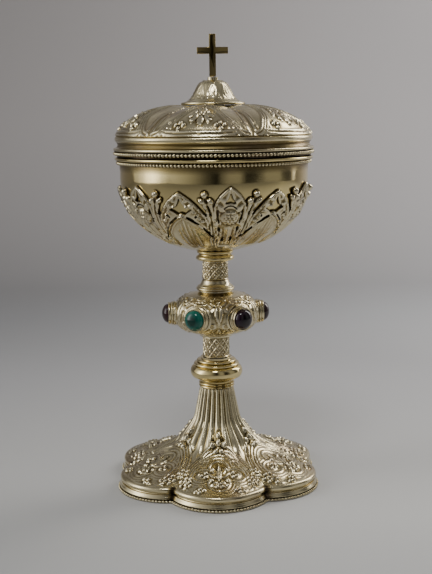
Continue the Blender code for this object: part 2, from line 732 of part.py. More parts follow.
def build_finial():
    """Make the bell on the lid, with its flange below and the cross's peg above."""
    bell_base = FINIAL_BASE + FLANGE_HEIGHT
    bell_top = bell_base + BELL_HEIGHT
    points = [
        (FLANGE_RADIUS - GAP, FINIAL_BASE),
        (FLANGE_RADIUS, FINIAL_BASE + FLANGE_HEIGHT / 2.0),
        (FLANGE_RADIUS - GAP, bell_base),
    ]
    points += [(BELL_RADIUS * out, bell_base + BELL_HEIGHT * up) for out, up in BELL_OUTLINE]
    points += [(PEG_RADIUS, bell_top), (PEG_RADIUS, bell_top + PEG_HEIGHT)]
    return solid("finial", turned(closed_on_axis(points), STEM_COLUMNS), PALE_GILT)


def build_cross():
    """Make the plain flat cross, extruded from its front outline."""
    half_bar, half_span = CROSS_BAR / 2.0, CROSS_SPAN / 2.0
    top = CROSS_BASE + CROSS_HEIGHT
    arm = CROSS_BASE + CROSS_ARM_HEIGHT
    right = [
        (half_bar, CROSS_BASE),
        (half_bar, arm - half_bar),
        (half_span, arm - half_bar),
        (half_span, arm + half_bar),
        (half_bar, arm + half_bar),
        (half_bar, top),
    ]
    left = [(-across, height) for across, height in right[::-1]]
    bm = bmesh.new()
    front = bm.faces.new([bm.verts.new((x, -CROSS_THICKNESS / 2.0, z)) for x, z in right + left])
    pushed = bmesh.ops.extrude_face_region(bm, geom=[front])
    moved = [item for item in pushed["geom"] if isinstance(item, bmesh.types.BMVert)]
    bmesh.ops.translate(bm, verts=moved, vec=(0.0, CROSS_THICKNESS, 0.0))
    if not any(len(face.verts) == 12 and face.normal.y < 0.0 for face in bm.faces):
        bm.faces.new([vert for vert in front.verts])
    return solid("cross", bm, DARK_GILT)


def build():
    """Clear the file and build every piece of the ciborium in place."""
    for existing in list(bpy.data.objects):
        bpy.data.objects.remove(existing)
    build_foot()
    build_bead_wire("foot_bead_wire", FOOT_BASE_RADIUS + GAP, FOOT_BEAD_LIFT, FOOT_BEAD, foot_radius)
    build_lower_collar()
    build_lower_stem()
    build_knop()
    for index in range(STONES):
        build_setting(index)
    build_upper_stem()
    build_upper_collar()
    build_bowl()
    build_bead_wire("bowl_bead_wire", BOWL_RADIUS + GAP, LIP_BASE - GAP - BEAD_WIRE, BEAD_WIRE)
    build_calyx()
    build_lid()
    build_bead_wire("lid_bead_wire", LID_WALL_RADIUS + GAP, LID_FILLET_BASE - GAP - BEAD_WIRE, BEAD_WIRE)
    build_finial()
    build_cross()


build()
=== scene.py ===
"""Looks of the silver-gilt ciborium: chased, pierced and beaded pieces, finishes, studio and camera."""

import json
import math

import bmesh
import bpy
import numpy as np
from bpy.props import FloatProperty, FloatVectorProperty, IntProperty, PointerProperty
from bpy.types import Operator, Panel, PropertyGroup
from mathutils import Matrix, Vector

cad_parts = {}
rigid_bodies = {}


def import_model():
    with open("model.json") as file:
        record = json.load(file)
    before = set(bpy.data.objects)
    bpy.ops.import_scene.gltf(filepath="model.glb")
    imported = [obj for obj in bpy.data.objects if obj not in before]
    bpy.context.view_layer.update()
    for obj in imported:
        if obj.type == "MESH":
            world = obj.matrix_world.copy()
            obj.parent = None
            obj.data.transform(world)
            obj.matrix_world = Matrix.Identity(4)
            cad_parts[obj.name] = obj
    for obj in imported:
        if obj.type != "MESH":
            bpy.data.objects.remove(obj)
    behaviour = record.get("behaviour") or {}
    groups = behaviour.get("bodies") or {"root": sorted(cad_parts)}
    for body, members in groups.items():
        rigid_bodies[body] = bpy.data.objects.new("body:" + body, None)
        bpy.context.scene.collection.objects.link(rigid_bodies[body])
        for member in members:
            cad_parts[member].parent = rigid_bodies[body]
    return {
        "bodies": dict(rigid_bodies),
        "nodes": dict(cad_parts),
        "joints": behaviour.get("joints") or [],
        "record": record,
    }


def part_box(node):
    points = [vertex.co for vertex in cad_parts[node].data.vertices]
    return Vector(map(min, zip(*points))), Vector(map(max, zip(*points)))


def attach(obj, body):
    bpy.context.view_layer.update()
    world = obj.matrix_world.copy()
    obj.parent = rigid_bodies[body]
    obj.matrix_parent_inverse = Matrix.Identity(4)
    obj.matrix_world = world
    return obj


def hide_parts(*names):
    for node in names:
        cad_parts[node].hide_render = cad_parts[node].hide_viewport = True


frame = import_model()

bl_info = {
    "name": "Covered Ciborium",
    "version": (1, 0, 0),
    "blender": (4, 5, 0),
    "location": "3D View > Sidebar > Ciborium",
    "description": "Builds a silver-gilt ciborium's chased pieces, finishes, studio and camera",
    "category": "Object",
}

MM = 0.001

# How many lobes, calyx leaves and stones stand round the axis
LOBES = 6

# How many flutes the trumpet has
FLUTES = 24

# Angles from the front, in degrees: a lid lobe, a narrow leaf of the calyx and the first stone
LID_TURN, CALYX_TURN, STONE_TURN = -9.0, 8.4, 33.0

# How many petals the bell has, and how many flutes the calyx has round its foot
PETALS, GADROONS = 8, 18

# Radii, in millimetres, at which the ornament of the engraved tubes and of the bell is drawn
STEM_RADIUS, BELL_RADIUS = 7.8, 10.5

# How far, in millimetres, the ground is sunk so that raised work stays inside the CAD piece
GROUND_SINK, BELL_SINK = 0.45, 0.3

# Half a lobe and one degree of turn, in degrees and in radians
HALF_LOBE, DEGREE = 180.0 / LOBES, math.radians(1.0)

# A distance, in millimetres, at which a wire raises nothing, and one beyond every point
CLEAR, FAR = 9.0, 1e9

# How far round each point the surface's mean level is taken, in edges, to find the recesses
SMOOTHING_STEPS = 5

# Points closer than this, in millimetres, become one
WELD = 0.001

# The foot's slope from the rim to the neck, as shares of its run and its rise
FOOT_SLOPE = (
    (1.000, 0.000), (0.810, 0.070), (0.650, 0.120), (0.515, 0.170), (0.400, 0.223), (0.325, 0.270), (0.262, 0.330),
    (0.200, 0.420), (0.135, 0.510), (0.086, 0.590), (0.058, 0.700), (0.030, 0.840), (0.000, 1.000),
)

# The lid's dome from the roll to the middle, as shares of its radius and its rise
LID_DOME = (
    (0.990, 0.000), (0.962, 0.170), (0.905, 0.400), (0.822, 0.610), (0.725, 0.770), (0.612, 0.900), (0.480, 0.985),
    (0.330, 1.000),
)


def length(name, millimetres, description):
    """Make a length property from its size in millimetres."""
    return FloatProperty(name=name, description=description, default=millimetres * MM, unit="LENGTH", precision=5)


def linear(code):
    """Turn an sRGB hex colour into linear red, green and blue."""
    shares = [int(code[place : place + 2], 16) / 255.0 for place in (1, 3, 5)]
    return tuple(share / 12.92 if share <= 0.04045 else ((share + 0.055) / 1.055) ** 2.4 for share in shares)


def colour(name, code, description):
    """Make a colour property from its sRGB hex code."""
    return FloatVectorProperty(
        name=name, description=description, default=linear(code), subtype="COLOR", min=0.0, max=1.0
    )


def count(name, default, description):
    """Make a count property."""
    return IntProperty(name=name, description=description, default=default, min=3, subtype="UNSIGNED")


class CiboriumSizes(PropertyGroup):
    """Sizes of the chased and beaded pieces, which the CAD pieces' own boxes complete."""

    foot_reach: length("Foot reach", 62.8, "Radius of the foot's widest band at the middle of a lobe")
    foot_lobe_centre: length("Foot lobe centre", 32.7, "Distance from the axis to the middle of a lobe's circle")
    foot_field: length("Foot field radius", 60.0, "Radius where the foot's chased field starts")
    foot_field_height: length("Foot field height", 8.8, "Height where the foot's chased field starts")
    foot_neck: length("Foot neck radius", 10.1, "Radius of the foot's neck")
    foot_wall: length("Foot wall", 1.5, "Thickness of the foot's sheet")
    flute_depth: length("Flute depth", 1.3, "Depth of the valleys between the trumpet's flutes")
    bowl_radius: length("Bowl radius", 54.5, "Outer radius of the bowl's side")
    bowl_depth: length("Bowl depth", 41.4, "Depth of the bowl's rounded part")
    bowl_wall: length("Bowl wall", 1.2, "Thickness of the bowl's sheet")
    calyx_stand_off: length("Calyx stand-off", 0.45, "Gap between the bowl and the pierced leaf work")
    calyx_sheet: length("Calyx sheet", 0.8, "Thickness of the pierced leaf work's ground")
    lid_roll: length("Lid roll radius", 57.2, "Radius of the bright roll round the lid's dome")
    lid_valley: length("Lid valley depth", 2.2, "Depth of the valleys between the lid's lobes")
    lid_wall: length("Lid wall", 1.2, "Thickness of the lid's sheet")
    knop_radius: length("Knop radius", 26.0, "Radius of the knop's middle")
    setting_radius: length("Setting radius", 7.35, "Radius of a stone's round collet")
    stone_radius: length("Stone radius", 5.65, "Radius of a stone")
    bead: length("Bead", 2.05, "Diameter of the beads round the lid and bowl")
    foot_bead: length("Foot bead", 1.75, "Diameter of the beads round the foot")
    foot_columns: count("Foot columns", 576, "Faces round the foot")
    lid_columns: count("Lid columns", 576, "Faces round the lid")
    rim_beads: count("Rim beads", 160, "Beads round the lid and bowl")
    foot_beads: count("Foot beads", 198, "Beads round the foot")


class CiboriumColours(PropertyGroup):
    """Colours of the finishes."""

    gilt: colour("Gilt", "#d6caa3", "Worn gilding on smooth silver")
    # Worn gilt is also the painted highlight on the beads' outer sides and along the leaf work's top edges
    gilt_high: colour("Worn gilt", "#dad0b0", "Silver showing through on the high spots")
    gilt_rich: colour("Rich gilt", "#dac88f", "Gilding on the polished parts")
    # Shaded gilt and the recess colour are also painted shade: on the beads' inner sides, the leaf work's walls and
    # underside, the bowl under the calyx's edges and its lip, and the lid behind its beads and in its cove. Shaded
    # gilt is also the cross's colour, painted dark for the dark room it mirrors
    gilt_shade: colour("Shaded gilt", "#8c7c52", "Duller gilding at the foot of raised work")
    tarnish: colour("Tarnish", "#a8927a", "Faint clouds of tarnish")
    recess: colour("Recess", "#2e2618", "Dark patina in the recesses")
    green: colour("Green stone", "#00574a", "Green cabochon")
    purple: colour("Purple stone", "#1c0a18", "Purple-black cabochon")
    red: colour("Red stone", "#22060a", "Dark red cabochon")


def in_mm():
    """Give every length property in millimetres and every count as it is."""
    sizes = bpy.context.scene.ciborium_sizes
    result = {}
    for name in sizes.__annotations__:
        value = getattr(sizes, name)
        result[name] = value / MM if isinstance(value, float) else value
    return result


def levels(node):
    """Give a CAD piece's lowest and highest level in millimetres."""
    low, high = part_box(node)
    return low.z / MM, high.z / MM


def add_node(tree, kind, settings=None, links=None):
    """Add a node, set its properties and sockets, and link its inputs."""
    node = tree.nodes.new(kind)
    for name, value in (settings or {}).items():
        if isinstance(name, int) or name in node.inputs:
            node.inputs[name].default_value = value
        else:
            setattr(node, name, value)
    for name, source in (links or {}).items():
        tree.links.new(source, node.inputs[name])
    return node


def curve(points, steps=6):
    """Give a smooth line through points, with some steps between each pair."""
    points = np.array(points, float)
    padded = np.vstack([2.0 * points[0] - points[1], points, 2.0 * points[-1] - points[-2]])
    line = []
    for start in range(len(points) - 1):
        before, here, there, after = padded[start : start + 4]
        for step in range(steps):
            t = step / steps
            line.append(
                0.5
                * (
                    2.0 * here
                    + (there - before) * t
                    + (2.0 * before - 5.0 * here + 4.0 * there - after) * t**2
                    + (3.0 * here - before - 3.0 * there + after) * t**3
                )
            )
    line.append(points[-1])
    return np.array(line)


def new_material(name):
    """Make a material and give it with its node tree and its shader."""
    result = bpy.data.materials.new(name)
    result.use_nodes = True
    return result, result.node_tree, result.node_tree.nodes["Principled BSDF"]


def noise(tree, coordinates, millimetres, detail):
    """Add noise whose clouds are some millimetres wide."""
    settings = {"Scale": 1.0 / (millimetres * MM), "Detail": detail}
    return add_node(tree, "ShaderNodeTexNoise", settings, {"Vector": coordinates.outputs["Object"]}).outputs["Fac"]


def ranged(tree, value, start, end, low=0.0, high=1.0, easing="LINEAR"):
    """Map a value from one range to another, held at both ends."""
    settings = {"interpolation_type": easing, "From Min": start, "From Max": end, "To Min": low, "To Max": high}
    return add_node(tree, "ShaderNodeMapRange", settings, {"Value": value}).outputs["Result"]


def mixed(tree, factor, first, second, blend="MIX"):
    """Mix two colours, each of them and the factor a socket or a fixed value."""
    node = add_node(tree, "ShaderNodeMix", {"data_type": "RGBA", "blend_type": blend})
    for name, source in (("Factor", factor), ("A", first), ("B", second)):
        if isinstance(source, bpy.types.NodeSocket):
            tree.links.new(source, node.inputs[name])
        else:
            node.inputs[name].default_value = source
    return node.outputs["Result"]


def set_stops(ramp, colours):
    """Give a colour ramp its stops, from (position, linear colour) pairs."""
    stops = ramp.color_ramp.elements
    for place, (position, code) in enumerate(colours):
        stop = stops[0] if place == 0 else stops[-1] if place == len(colours) - 1 else stops.new(position)
        stop.position = position
        stop.color = (*code, 1.0)


def way_along(line):
    """Give how far along a line each of its points lies."""
    return np.concatenate([[0.0], np.cumsum(np.hypot(*np.diff(line, axis=0).T))])


def spaced(line, spacing):
    """Give points along a line at even distances."""
    lengths = way_along(line)
    places = np.linspace(0.0, lengths[-1], max(2, round(lengths[-1] / spacing) + 1))
    return np.column_stack([np.interp(places, lengths, line[:, axis]) for axis in (0, 1)])


def arc(centre, radius, start, end, steps):
    """Give points on a circle between two angles in degrees."""
    angles = np.radians(np.linspace(start, end, steps + 1))
    return [(centre[0] + radius * math.cos(angle), centre[1] + radius * math.sin(angle)) for angle in angles]


def smooth_share(value):
    """Ease a value from 0 to 1."""
    value = np.clip(value, 0.0, 1.0)
    return value * value * (3.0 - 2.0 * value)


def to_segment(across, along, start, end):
    """Give each point's distance to the straight line between two points."""
    (x0, y0), (x1, y1) = start, end
    dx, dy = x1 - x0, y1 - y0
    share = np.clip(((across - x0) * dx + (along - y0) * dy) / max(dx * dx + dy * dy, 1e-12), 0.0, 1.0)
    return np.hypot(across - x0 - share * dx, along - y0 - share * dy)


def half_round(distance, half):
    """Give a half-round's height at a distance from its middle, as a share of its full height."""
    return np.sqrt(1.0 - np.clip(distance / half, 0.0, 1.0) ** 2)


class Relief:
    """Raised work in millimetres over the points of a surface, given in its own flat measures."""

    def __init__(self, across, along):
        self.across = np.asarray(across, float)
        self.along = np.asarray(along, float)
        self.height = np.zeros_like(self.across)

    def raise_to(self, height):
        """Bring the surface up to a height wherever that is higher."""
        self.height = np.maximum(self.height, height)

    def distance(self, line):
        """Give each point's distance to a line."""
        nearest = np.full(self.across.shape, FAR)
        for start, end in zip(line[:-1], line[1:]):
            nearest = np.minimum(nearest, to_segment(self.across, self.along, start, end))
        return nearest

    def wire(self, distance, width, height, offsets=(0.0,)):
        """Raise half-round wires at some distances from where a distance is nought."""
        for offset in offsets:
            self.raise_to(height * half_round(np.abs(distance - offset), width))

    def rib(self, points, width, height, offsets=(0.0,), steps=5):
        """Raise half-round ribs along a smooth line."""
        self.wire(self.distance(curve(points, steps)), width, height, offsets)

    def pellets(self, points, radius, height):
        """Raise domes at points."""
        for x, y in points:
            self.raise_to(height * half_round(np.hypot(self.across - x, self.along - y), radius))

    def leaf(self, start, end, width, height, crease=0.35):
        """Raise a pointed leaf with a creased middle from its stem to its tip."""
        x0, y0 = start
        dx, dy = end[0] - x0, end[1] - y0
        size = math.hypot(dx, dy)
        dx, dy = dx / size, dy / size
        along = ((self.across - x0) * dx + (self.along - y0) * dy) / size
        aside = np.abs((self.across - x0) * dy - (self.along - y0) * dx)
        half = width * np.sin(math.pi * np.clip(along, 0.0, 1.0) ** 0.75) + 1e-6
        share = np.clip(aside / half, 0.0, 1.0)
        blade = height * np.sqrt(1.0 - share**2) * (1.0 - crease * np.exp(-((share / 0.3) ** 2)))
        self.raise_to(np.where((along > 0.0) & (along < 1.0), blade, 0.0))


def circles(relief, discs):
    """Give the distance to the outline of several joined discs, below nought inside."""
    nearest = np.full(relief.across.shape, FAR)
    for x, y, radius in discs:
        nearest = np.minimum(nearest, np.hypot(relief.across - x, relief.along - y) - radius)
    return nearest


def turn_about_axis(bm, geom, angle, steps, **settings):
    """Spin geometry about the upright axis."""
    bmesh.ops.spin(
        bm, geom=geom, cent=(0.0, 0.0, 0.0), axis=(0.0, 0.0, 1.0), angle=angle, steps=steps, **settings
    )


def repeat_round(bm, copies):
    """Repeat all that a bmesh holds round the upright axis."""
    geom = bm.verts[:] + bm.edges[:] + bm.faces[:]
    turn_about_axis(bm, geom, math.tau * (copies - 1) / copies, copies - 1, use_duplicate=True)


def small_ring(radius, height, half):
    """Give the six-sided outline of a thin wire at a radius and a height."""
    turns = np.radians(range(0, 360, 60))
    return [(radius + half * math.cos(turn), height + half * math.sin(turn)) for turn in turns]


def spun(name, outline, columns, turn=0.0, ring=False):
    """Spin (radius, height) points in millimetres once round the upright axis, each with its row number."""
    bm = bmesh.new()
    row_layer = bm.verts.layers.int.new("row")
    angle = math.radians(turn)
    chain = []
    for row, (radius, height) in enumerate(outline):
        vert = bm.verts.new((radius * math.sin(angle) * MM, -radius * math.cos(angle) * MM, height * MM))
        vert[row_layer] = row
        chain.append(vert)
    edges = [bm.edges.new(pair) for pair in zip(chain, chain[1:])]
    if ring:
        edges.append(bm.edges.new((chain[-1], chain[0])))
    turn_about_axis(bm, chain + edges, math.tau, columns, use_merge=True)
    bmesh.ops.remove_doubles(bm, verts=bm.verts[:], dist=WELD * MM)
    return meshed(name, bm)


def meshed(name, bm):
    """Turn a bmesh into a mesh with its faces outwards."""
    bmesh.ops.recalc_face_normals(bm, faces=bm.faces[:])
    if bm.calc_volume(signed=True) < 0.0:
        bmesh.ops.reverse_faces(bm, faces=bm.faces[:])
    mesh = bpy.data.meshes.new(name)
    bm.to_mesh(mesh)
    bm.free()
    return mesh


def points_of(mesh):
    """Give a mesh's points in millimetres."""
    flat = np.empty(len(mesh.vertices) * 3, np.float32)
    mesh.vertices.foreach_get("co", flat)
    return flat.reshape(-1, 3).astype(float) / MM


def set_points(mesh, points):
    """Move a mesh's points to places in millimetres."""
    mesh.vertices.foreach_set("co", (points * MM).astype(np.float32).ravel())
    mesh.update()


def stored(mesh, name, kind=np.int32):
    """Give the values that a mesh's points carry under a name."""
    values = np.empty(len(mesh.vertices), kind)
    mesh.attributes[name].data.foreach_get("value", values)
    return values


def polar(points):
    """Give radius, angle from the front in degrees, and height."""
    return np.hypot(points[:, 0], points[:, 1]), np.degrees(np.arctan2(points[:, 0], -points[:, 1])), points[:, 2]


def placed(radius, azimuth, height):
    """Give the points at some radii, angles from the front and heights."""
    angle = np.radians(azimuth)
    return np.column_stack([radius * np.sin(angle), -radius * np.cos(angle), height])


def folded(azimuth, repeats):
    """Fold angles into the repeat round 0."""
    pitch = 360.0 / repeats
    return (azimuth + pitch / 2.0) % pitch - pitch / 2.0


def outline_normals(outline):
    """Give the outward direction at each point of an outline that runs up the outside."""
    line = np.array(outline, float)
    along = np.gradient(line, axis=0)
    along /= np.maximum(np.hypot(along[:, 0], along[:, 1]), 1e-9)[:, None]
    return np.column_stack([along[:, 1], -along[:, 0]])


def pushed(radius, height, rows, first, normals, lift):
    """Move the points of some rows of an outline along its directions by a lift."""
    directions = np.zeros((rows.max() + 1, 2))
    directions[first : first + len(normals)] = normals
    return radius + lift * directions[rows, 0], height + lift * directions[rows, 1]


def store_recess(mesh, height, depth, tone_shift=0.0):
    """Store how far each point lies in a recess, from 0 on a crest to 1 in the deep, round a half, moved by a tone
    shift that carries painted shade and painted highlights on some pieces.
    """
    ends = np.empty(len(mesh.edges) * 2, np.int32)
    mesh.edges.foreach_get("vertices", ends)
    first, second = ends.reshape(-1, 2).T
    met = np.bincount(first, minlength=len(height)) + np.bincount(second, minlength=len(height))
    around = height.copy()
    for _ in range(SMOOTHING_STEPS):
        total = np.bincount(first, around[second], len(height)) + np.bincount(second, around[first], len(height))
        around = total / np.maximum(met, 1)
    recess = np.clip(0.5 + (around - height) / depth + tone_shift, 0.0, 1.0)
    layer = mesh.attributes.new("recess", "FLOAT", "POINT")
    layer.data.foreach_set("value", recess.astype(np.float32))


def linked(name, data):
    """Put an object that shows some data into the scene."""
    item = bpy.data.objects.new(name, data)
    bpy.context.scene.collection.objects.link(item)
    return item


def finished(name, mesh, finish, nodes, sharp=40.0):
    """Make the object of a piece, in its finish, standing for its CAD pieces."""
    mesh.shade_smooth()
    mesh.set_sharp_from_angle(angle=math.radians(sharp))
    if "row" in mesh.attributes:
        mesh.attributes.remove(mesh.attributes["row"])
    mesh.materials.clear()
    mesh.materials.append(finish)
    piece = linked(name, mesh)
    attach(piece, "root")
    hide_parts(*nodes)
    return piece


def lobed_radius(angle, lobe_radius, centre):
    """Give the distance from the axis to a lobe's circle at angles from the lobe's middle."""
    slant = np.radians(angle)
    reach = lobe_radius**2 - (centre * np.sin(slant)) ** 2
    return centre * np.cos(slant) + np.sqrt(np.maximum(reach, 0.0))


def lobe_chart(radius, angle):
    """Give how far points lie aside from a lobe's middle line, and how far out along it."""
    return np.abs(radius * np.sin(np.radians(angle))), radius * np.cos(np.radians(angle))


def foot_radius(radius, azimuth, size):
    """Give the radius at an angle of the ring whose radius at a lobe's middle is known."""
    centre, field, neck = size["foot_lobe_centre"], size["foot_field"], size["foot_neck"]
    angle = folded(azimuth, LOBES)
    outer = lobed_radius(angle, np.maximum(radius - centre, 1.0), centre)
    notch = lobed_radius(angle, field - centre, centre) / field
    blend = np.clip((radius - neck) / (field - neck), 0.0, 1.0) ** 1.3
    return np.where(radius >= field, outer, radius * (1.0 - blend * (1.0 - notch)))


def foot_relief(across, along):
    """Raise the chased work of half a foot lobe."""
    work = Relief(across, along)
    arch = [(0.0, 24.9), (4.6, 25.6), (9.3, 28.0), (13.6, 31.6), (17.2, 36.2), (19.2, 41.5)]
    work.rib(arch, 0.62, 0.42, (0.0, 1.7, 3.3))
    # The foiled frame and the lines that follow it inwards
    frame = circles(work, [(9.3, 41.8, 5.6), (0.0, 49.6, 6.0), (0.0, 36.0, 5.4), (0.0, 42.0, 6.0)])
    work.wire(frame, 0.6, 0.4)
    work.wire(frame, 0.5, 0.22, (2.0, 3.7))
    work.wire(np.hypot(across - 9.2, along - 41.1) - 2.9, 0.5, 0.4)
    work.rib([(15.4, 52.8), (12.0, 57.0), (6.0, 59.0), (0.0, 59.5)], 0.45, 0.25)
    work.rib([(19.7, 51.4), (22.2, 50.6), (24.8, 50.2)], 0.45, 0.3, (0.0, 1.5))
    work.rib([(17.4, 52.6), (19.0, 50.2), (18.8, 47.6)], 0.45, 0.3)
    # The leaf spray in the frame, and the berries of spray and spandrels
    work.leaf((0.0, 47.5), (0.0, 33.0), 1.6, 1.3)
    work.leaf((1.0, 43.0), (4.3, 35.4), 1.4, 1.0)
    work.leaf((1.4, 44.5), (6.4, 40.2), 1.3, 0.9)
    work.leaf((1.0, 47.2), (3.6, 53.2), 1.2, 0.8)
    work.leaf((20.8, 39.5), (16.9, 32.8), 1.2, 0.6)
    work.pellets([(3.3, 21.6), (0.0, 21.2), (1.6, 24.6), (0.0, 18.6)], 1.5, 1.6)
    work.pellets([(3.8, 37.6), (7.6, 40.0), (10.2, 41.8), (7.8, 43.4), (4.6, 46.8)], 1.2, 1.35)
    work.pellets([(0.0, 50.2), (2.4, 49.4), (1.4, 52.4), (4.4, 51.2)], 1.1, 1.2)
    work.pellets([(8.8, 54.6), (11.0, 53.2), (11.4, 55.8), (13.6, 54.6)], 1.15, 1.25)
    work.pellets([(18.4, 34.6), (20.6, 36.0), (19.0, 37.4), (21.4, 38.6)], 1.15, 1.25)
    work.pellets([(16.4, 42.6), (18.8, 41.4), (17.0, 45.2), (19.6, 43.8), (22.0, 42.4), (19.0, 46.4)], 1.15, 1.3)
    work.pellets([(21.8, 45.6), (16.8, 48.2), (19.6, 49.2)], 1.05, 1.15)
    return work.height, np.interp(across, *np.array(curve(arch)).T, right=60.0)


def build_foot(size, finish):
    """Make the lobed foot: hollow sheet, moulded rim, chased lobes and fluted trumpet."""
    _, top = levels("foot")
    neck, field, reach = size["foot_neck"], size["foot_field"], size["foot_reach"]
    field_height, wall = size["foot_field_height"], size["foot_wall"]
    shares = np.array(FOOT_SLOPE)
    slope = curve(
        np.column_stack([neck + shares[:, 0] * (field - neck), field_height + shares[:, 1] * (top - field_height)]), 12
    )
    # The chased field has finer rows than the fluted trumpet over it
    in_field = slope[:, 0] > 21.0
    slope = np.vstack([spaced(slope[in_field], 0.56), spaced(slope[~in_field], 0.95)])
    rim = [(reach - 1.0, 0.0), (reach - 1.0, 1.0), (reach - 1.0, 2.0), (reach - 0.35, 2.1), (reach, 2.35)]
    rim += [(reach - 0.05, 2.8), (reach - 0.5, 3.5), (reach - 0.95, 4.1), (reach - 1.0, 4.5), (reach - 1.9, 4.65)]
    rim += arc((reach - 2.4, 6.85), 1.9, -78.0, 76.0, 9)
    normals = outline_normals(slope)
    # The hollow underside follows the slope with fewer rows
    behind = slope - normals * wall
    inner_rim = reach - 1.9 - wall
    inside = [(inner_rim, 0.0), (inner_rim, field_height - wall)]
    inside += [tuple(point) for point in behind[12::9] if point[1] < top - 3.0]
    inside += [(neck - wall, top - wall)]
    outline = [(0.0, top - wall)] + inside[::-1] + rim + [tuple(point) for point in slope] + [(0.0, top)]
    mesh = spun("foot", outline, size["foot_columns"])

    rows = stored(mesh, "row")
    radius, azimuth, height = polar(points_of(mesh))
    radius = np.where(radius > 0.01, foot_radius(radius, azimuth, size), 0.0)
    first = 1 + len(inside) + len(rim)
    on_slope = (rows >= first) & (rows < first + len(slope))
    angle = folded(azimuth, LOBES)
    across, along = lobe_chart(radius, angle)
    lift = np.zeros_like(radius)
    chased, arch = foot_relief(across[on_slope], along[on_slope])
    rise = (height[on_slope] - field_height) / (top - field_height)
    flutes = np.abs(np.cos(np.radians(FLUTES / 2.0 * azimuth[on_slope]))) - 1.0
    outside = smooth_share((arch - along[on_slope]) / 2.5)
    depth = np.interp(rise, [0.0, 0.05, 0.12, 0.3, 0.93, 1.0], [0.0, 0.1, 0.35, 0.85, 1.0, 0.5])
    sides = smooth_share((45.0 - along[on_slope]) / 6.0)
    lift[on_slope] = chased + size["flute_depth"] * flutes * depth * outside * sides
    radius, height = pushed(radius, height, rows, first, normals, lift)
    set_points(mesh, placed(radius, azimuth, height))
    # The rows of the rim and of the hollow underside are darker in the notches between the lobes
    tone_shift = np.where(rows < first, 0.5 * smooth_share((np.abs(angle) - 26.5) / 3.0), 0.0)
    store_recess(mesh, lift, 0.8, tone_shift)
    return finished("foot_chased", mesh, finish, ["foot"])


def lid_relief(across, along):
    """Raise the chased work of half a lid lobe."""
    work = Relief(across, along)
    # The pointed arch, the line inside it, and the ribs along the valley between two lobes
    pointed = [(26.2, 50.4), (21.7, 50.9), (15.2, 47.1), (10.6, 42.6), (6.4, 34.9), (3.0, 27.0), (0.0, 22.0)]
    work.rib(pointed, 0.5, 0.45, (0.0, 1.4))
    work.rib([(0.0, 30.0), (5.5, 37.5), (12.0, 46.5), (17.0, 51.4), (19.5, 53.0)], 0.42, 0.28)
    work.rib([(25.4, 48.2), (21.6, 41.5), (18.9, 36.3), (15.6, 27.5), (12.8, 20.5)], 0.7, 0.6)
    work.rib([(24.4, 49.3), (20.3, 42.4), (17.2, 36.3), (14.0, 27.5), (11.2, 20.0)], 0.42, 0.16)
    work.rib([(20.6, 51.6), (17.6, 53.3), (10.0, 55.6), (0.0, 56.6)], 0.5, 0.4, (0.0, 1.2))
    work.leaf((0.4, 46.5), (0.4, 53.8), 1.4, 1.0)
    work.leaf((2.0, 44.4), (5.0, 52.0), 1.3, 0.9)
    work.leaf((1.0, 45.0), (0.6, 33.0), 1.1, 0.6)
    work.leaf((2.2, 43.4), (7.4, 46.8), 1.1, 0.7)
    work.leaf((14.8, 50.2), (17.9, 52.4), 0.9, 0.4)
    work.pellets([(8.8, 51.6), (11.4, 52.8), (10.6, 50.0), (12.9, 50.4)], 1.1, 1.15)
    work.pellets([(3.2, 41.6), (1.4, 38.8), (5.0, 49.0)], 0.95, 0.95)
    return work.height


def lid_drop(radius, azimuth, size):
    """Give how far the lid's skin lies under the crest of its lobe."""
    angle = np.abs(folded(azimuth - LID_TURN, LOBES)) / HALF_LOBE
    share = radius / size["lid_roll"]
    rim_fade = np.clip((0.985 - share) / 0.1, 0.0, 1.0)
    top_fade = np.clip((share - 0.2) / 0.35, 0.0, 1.0)
    return size["lid_valley"] * rim_fade * top_fade * angle**2.5


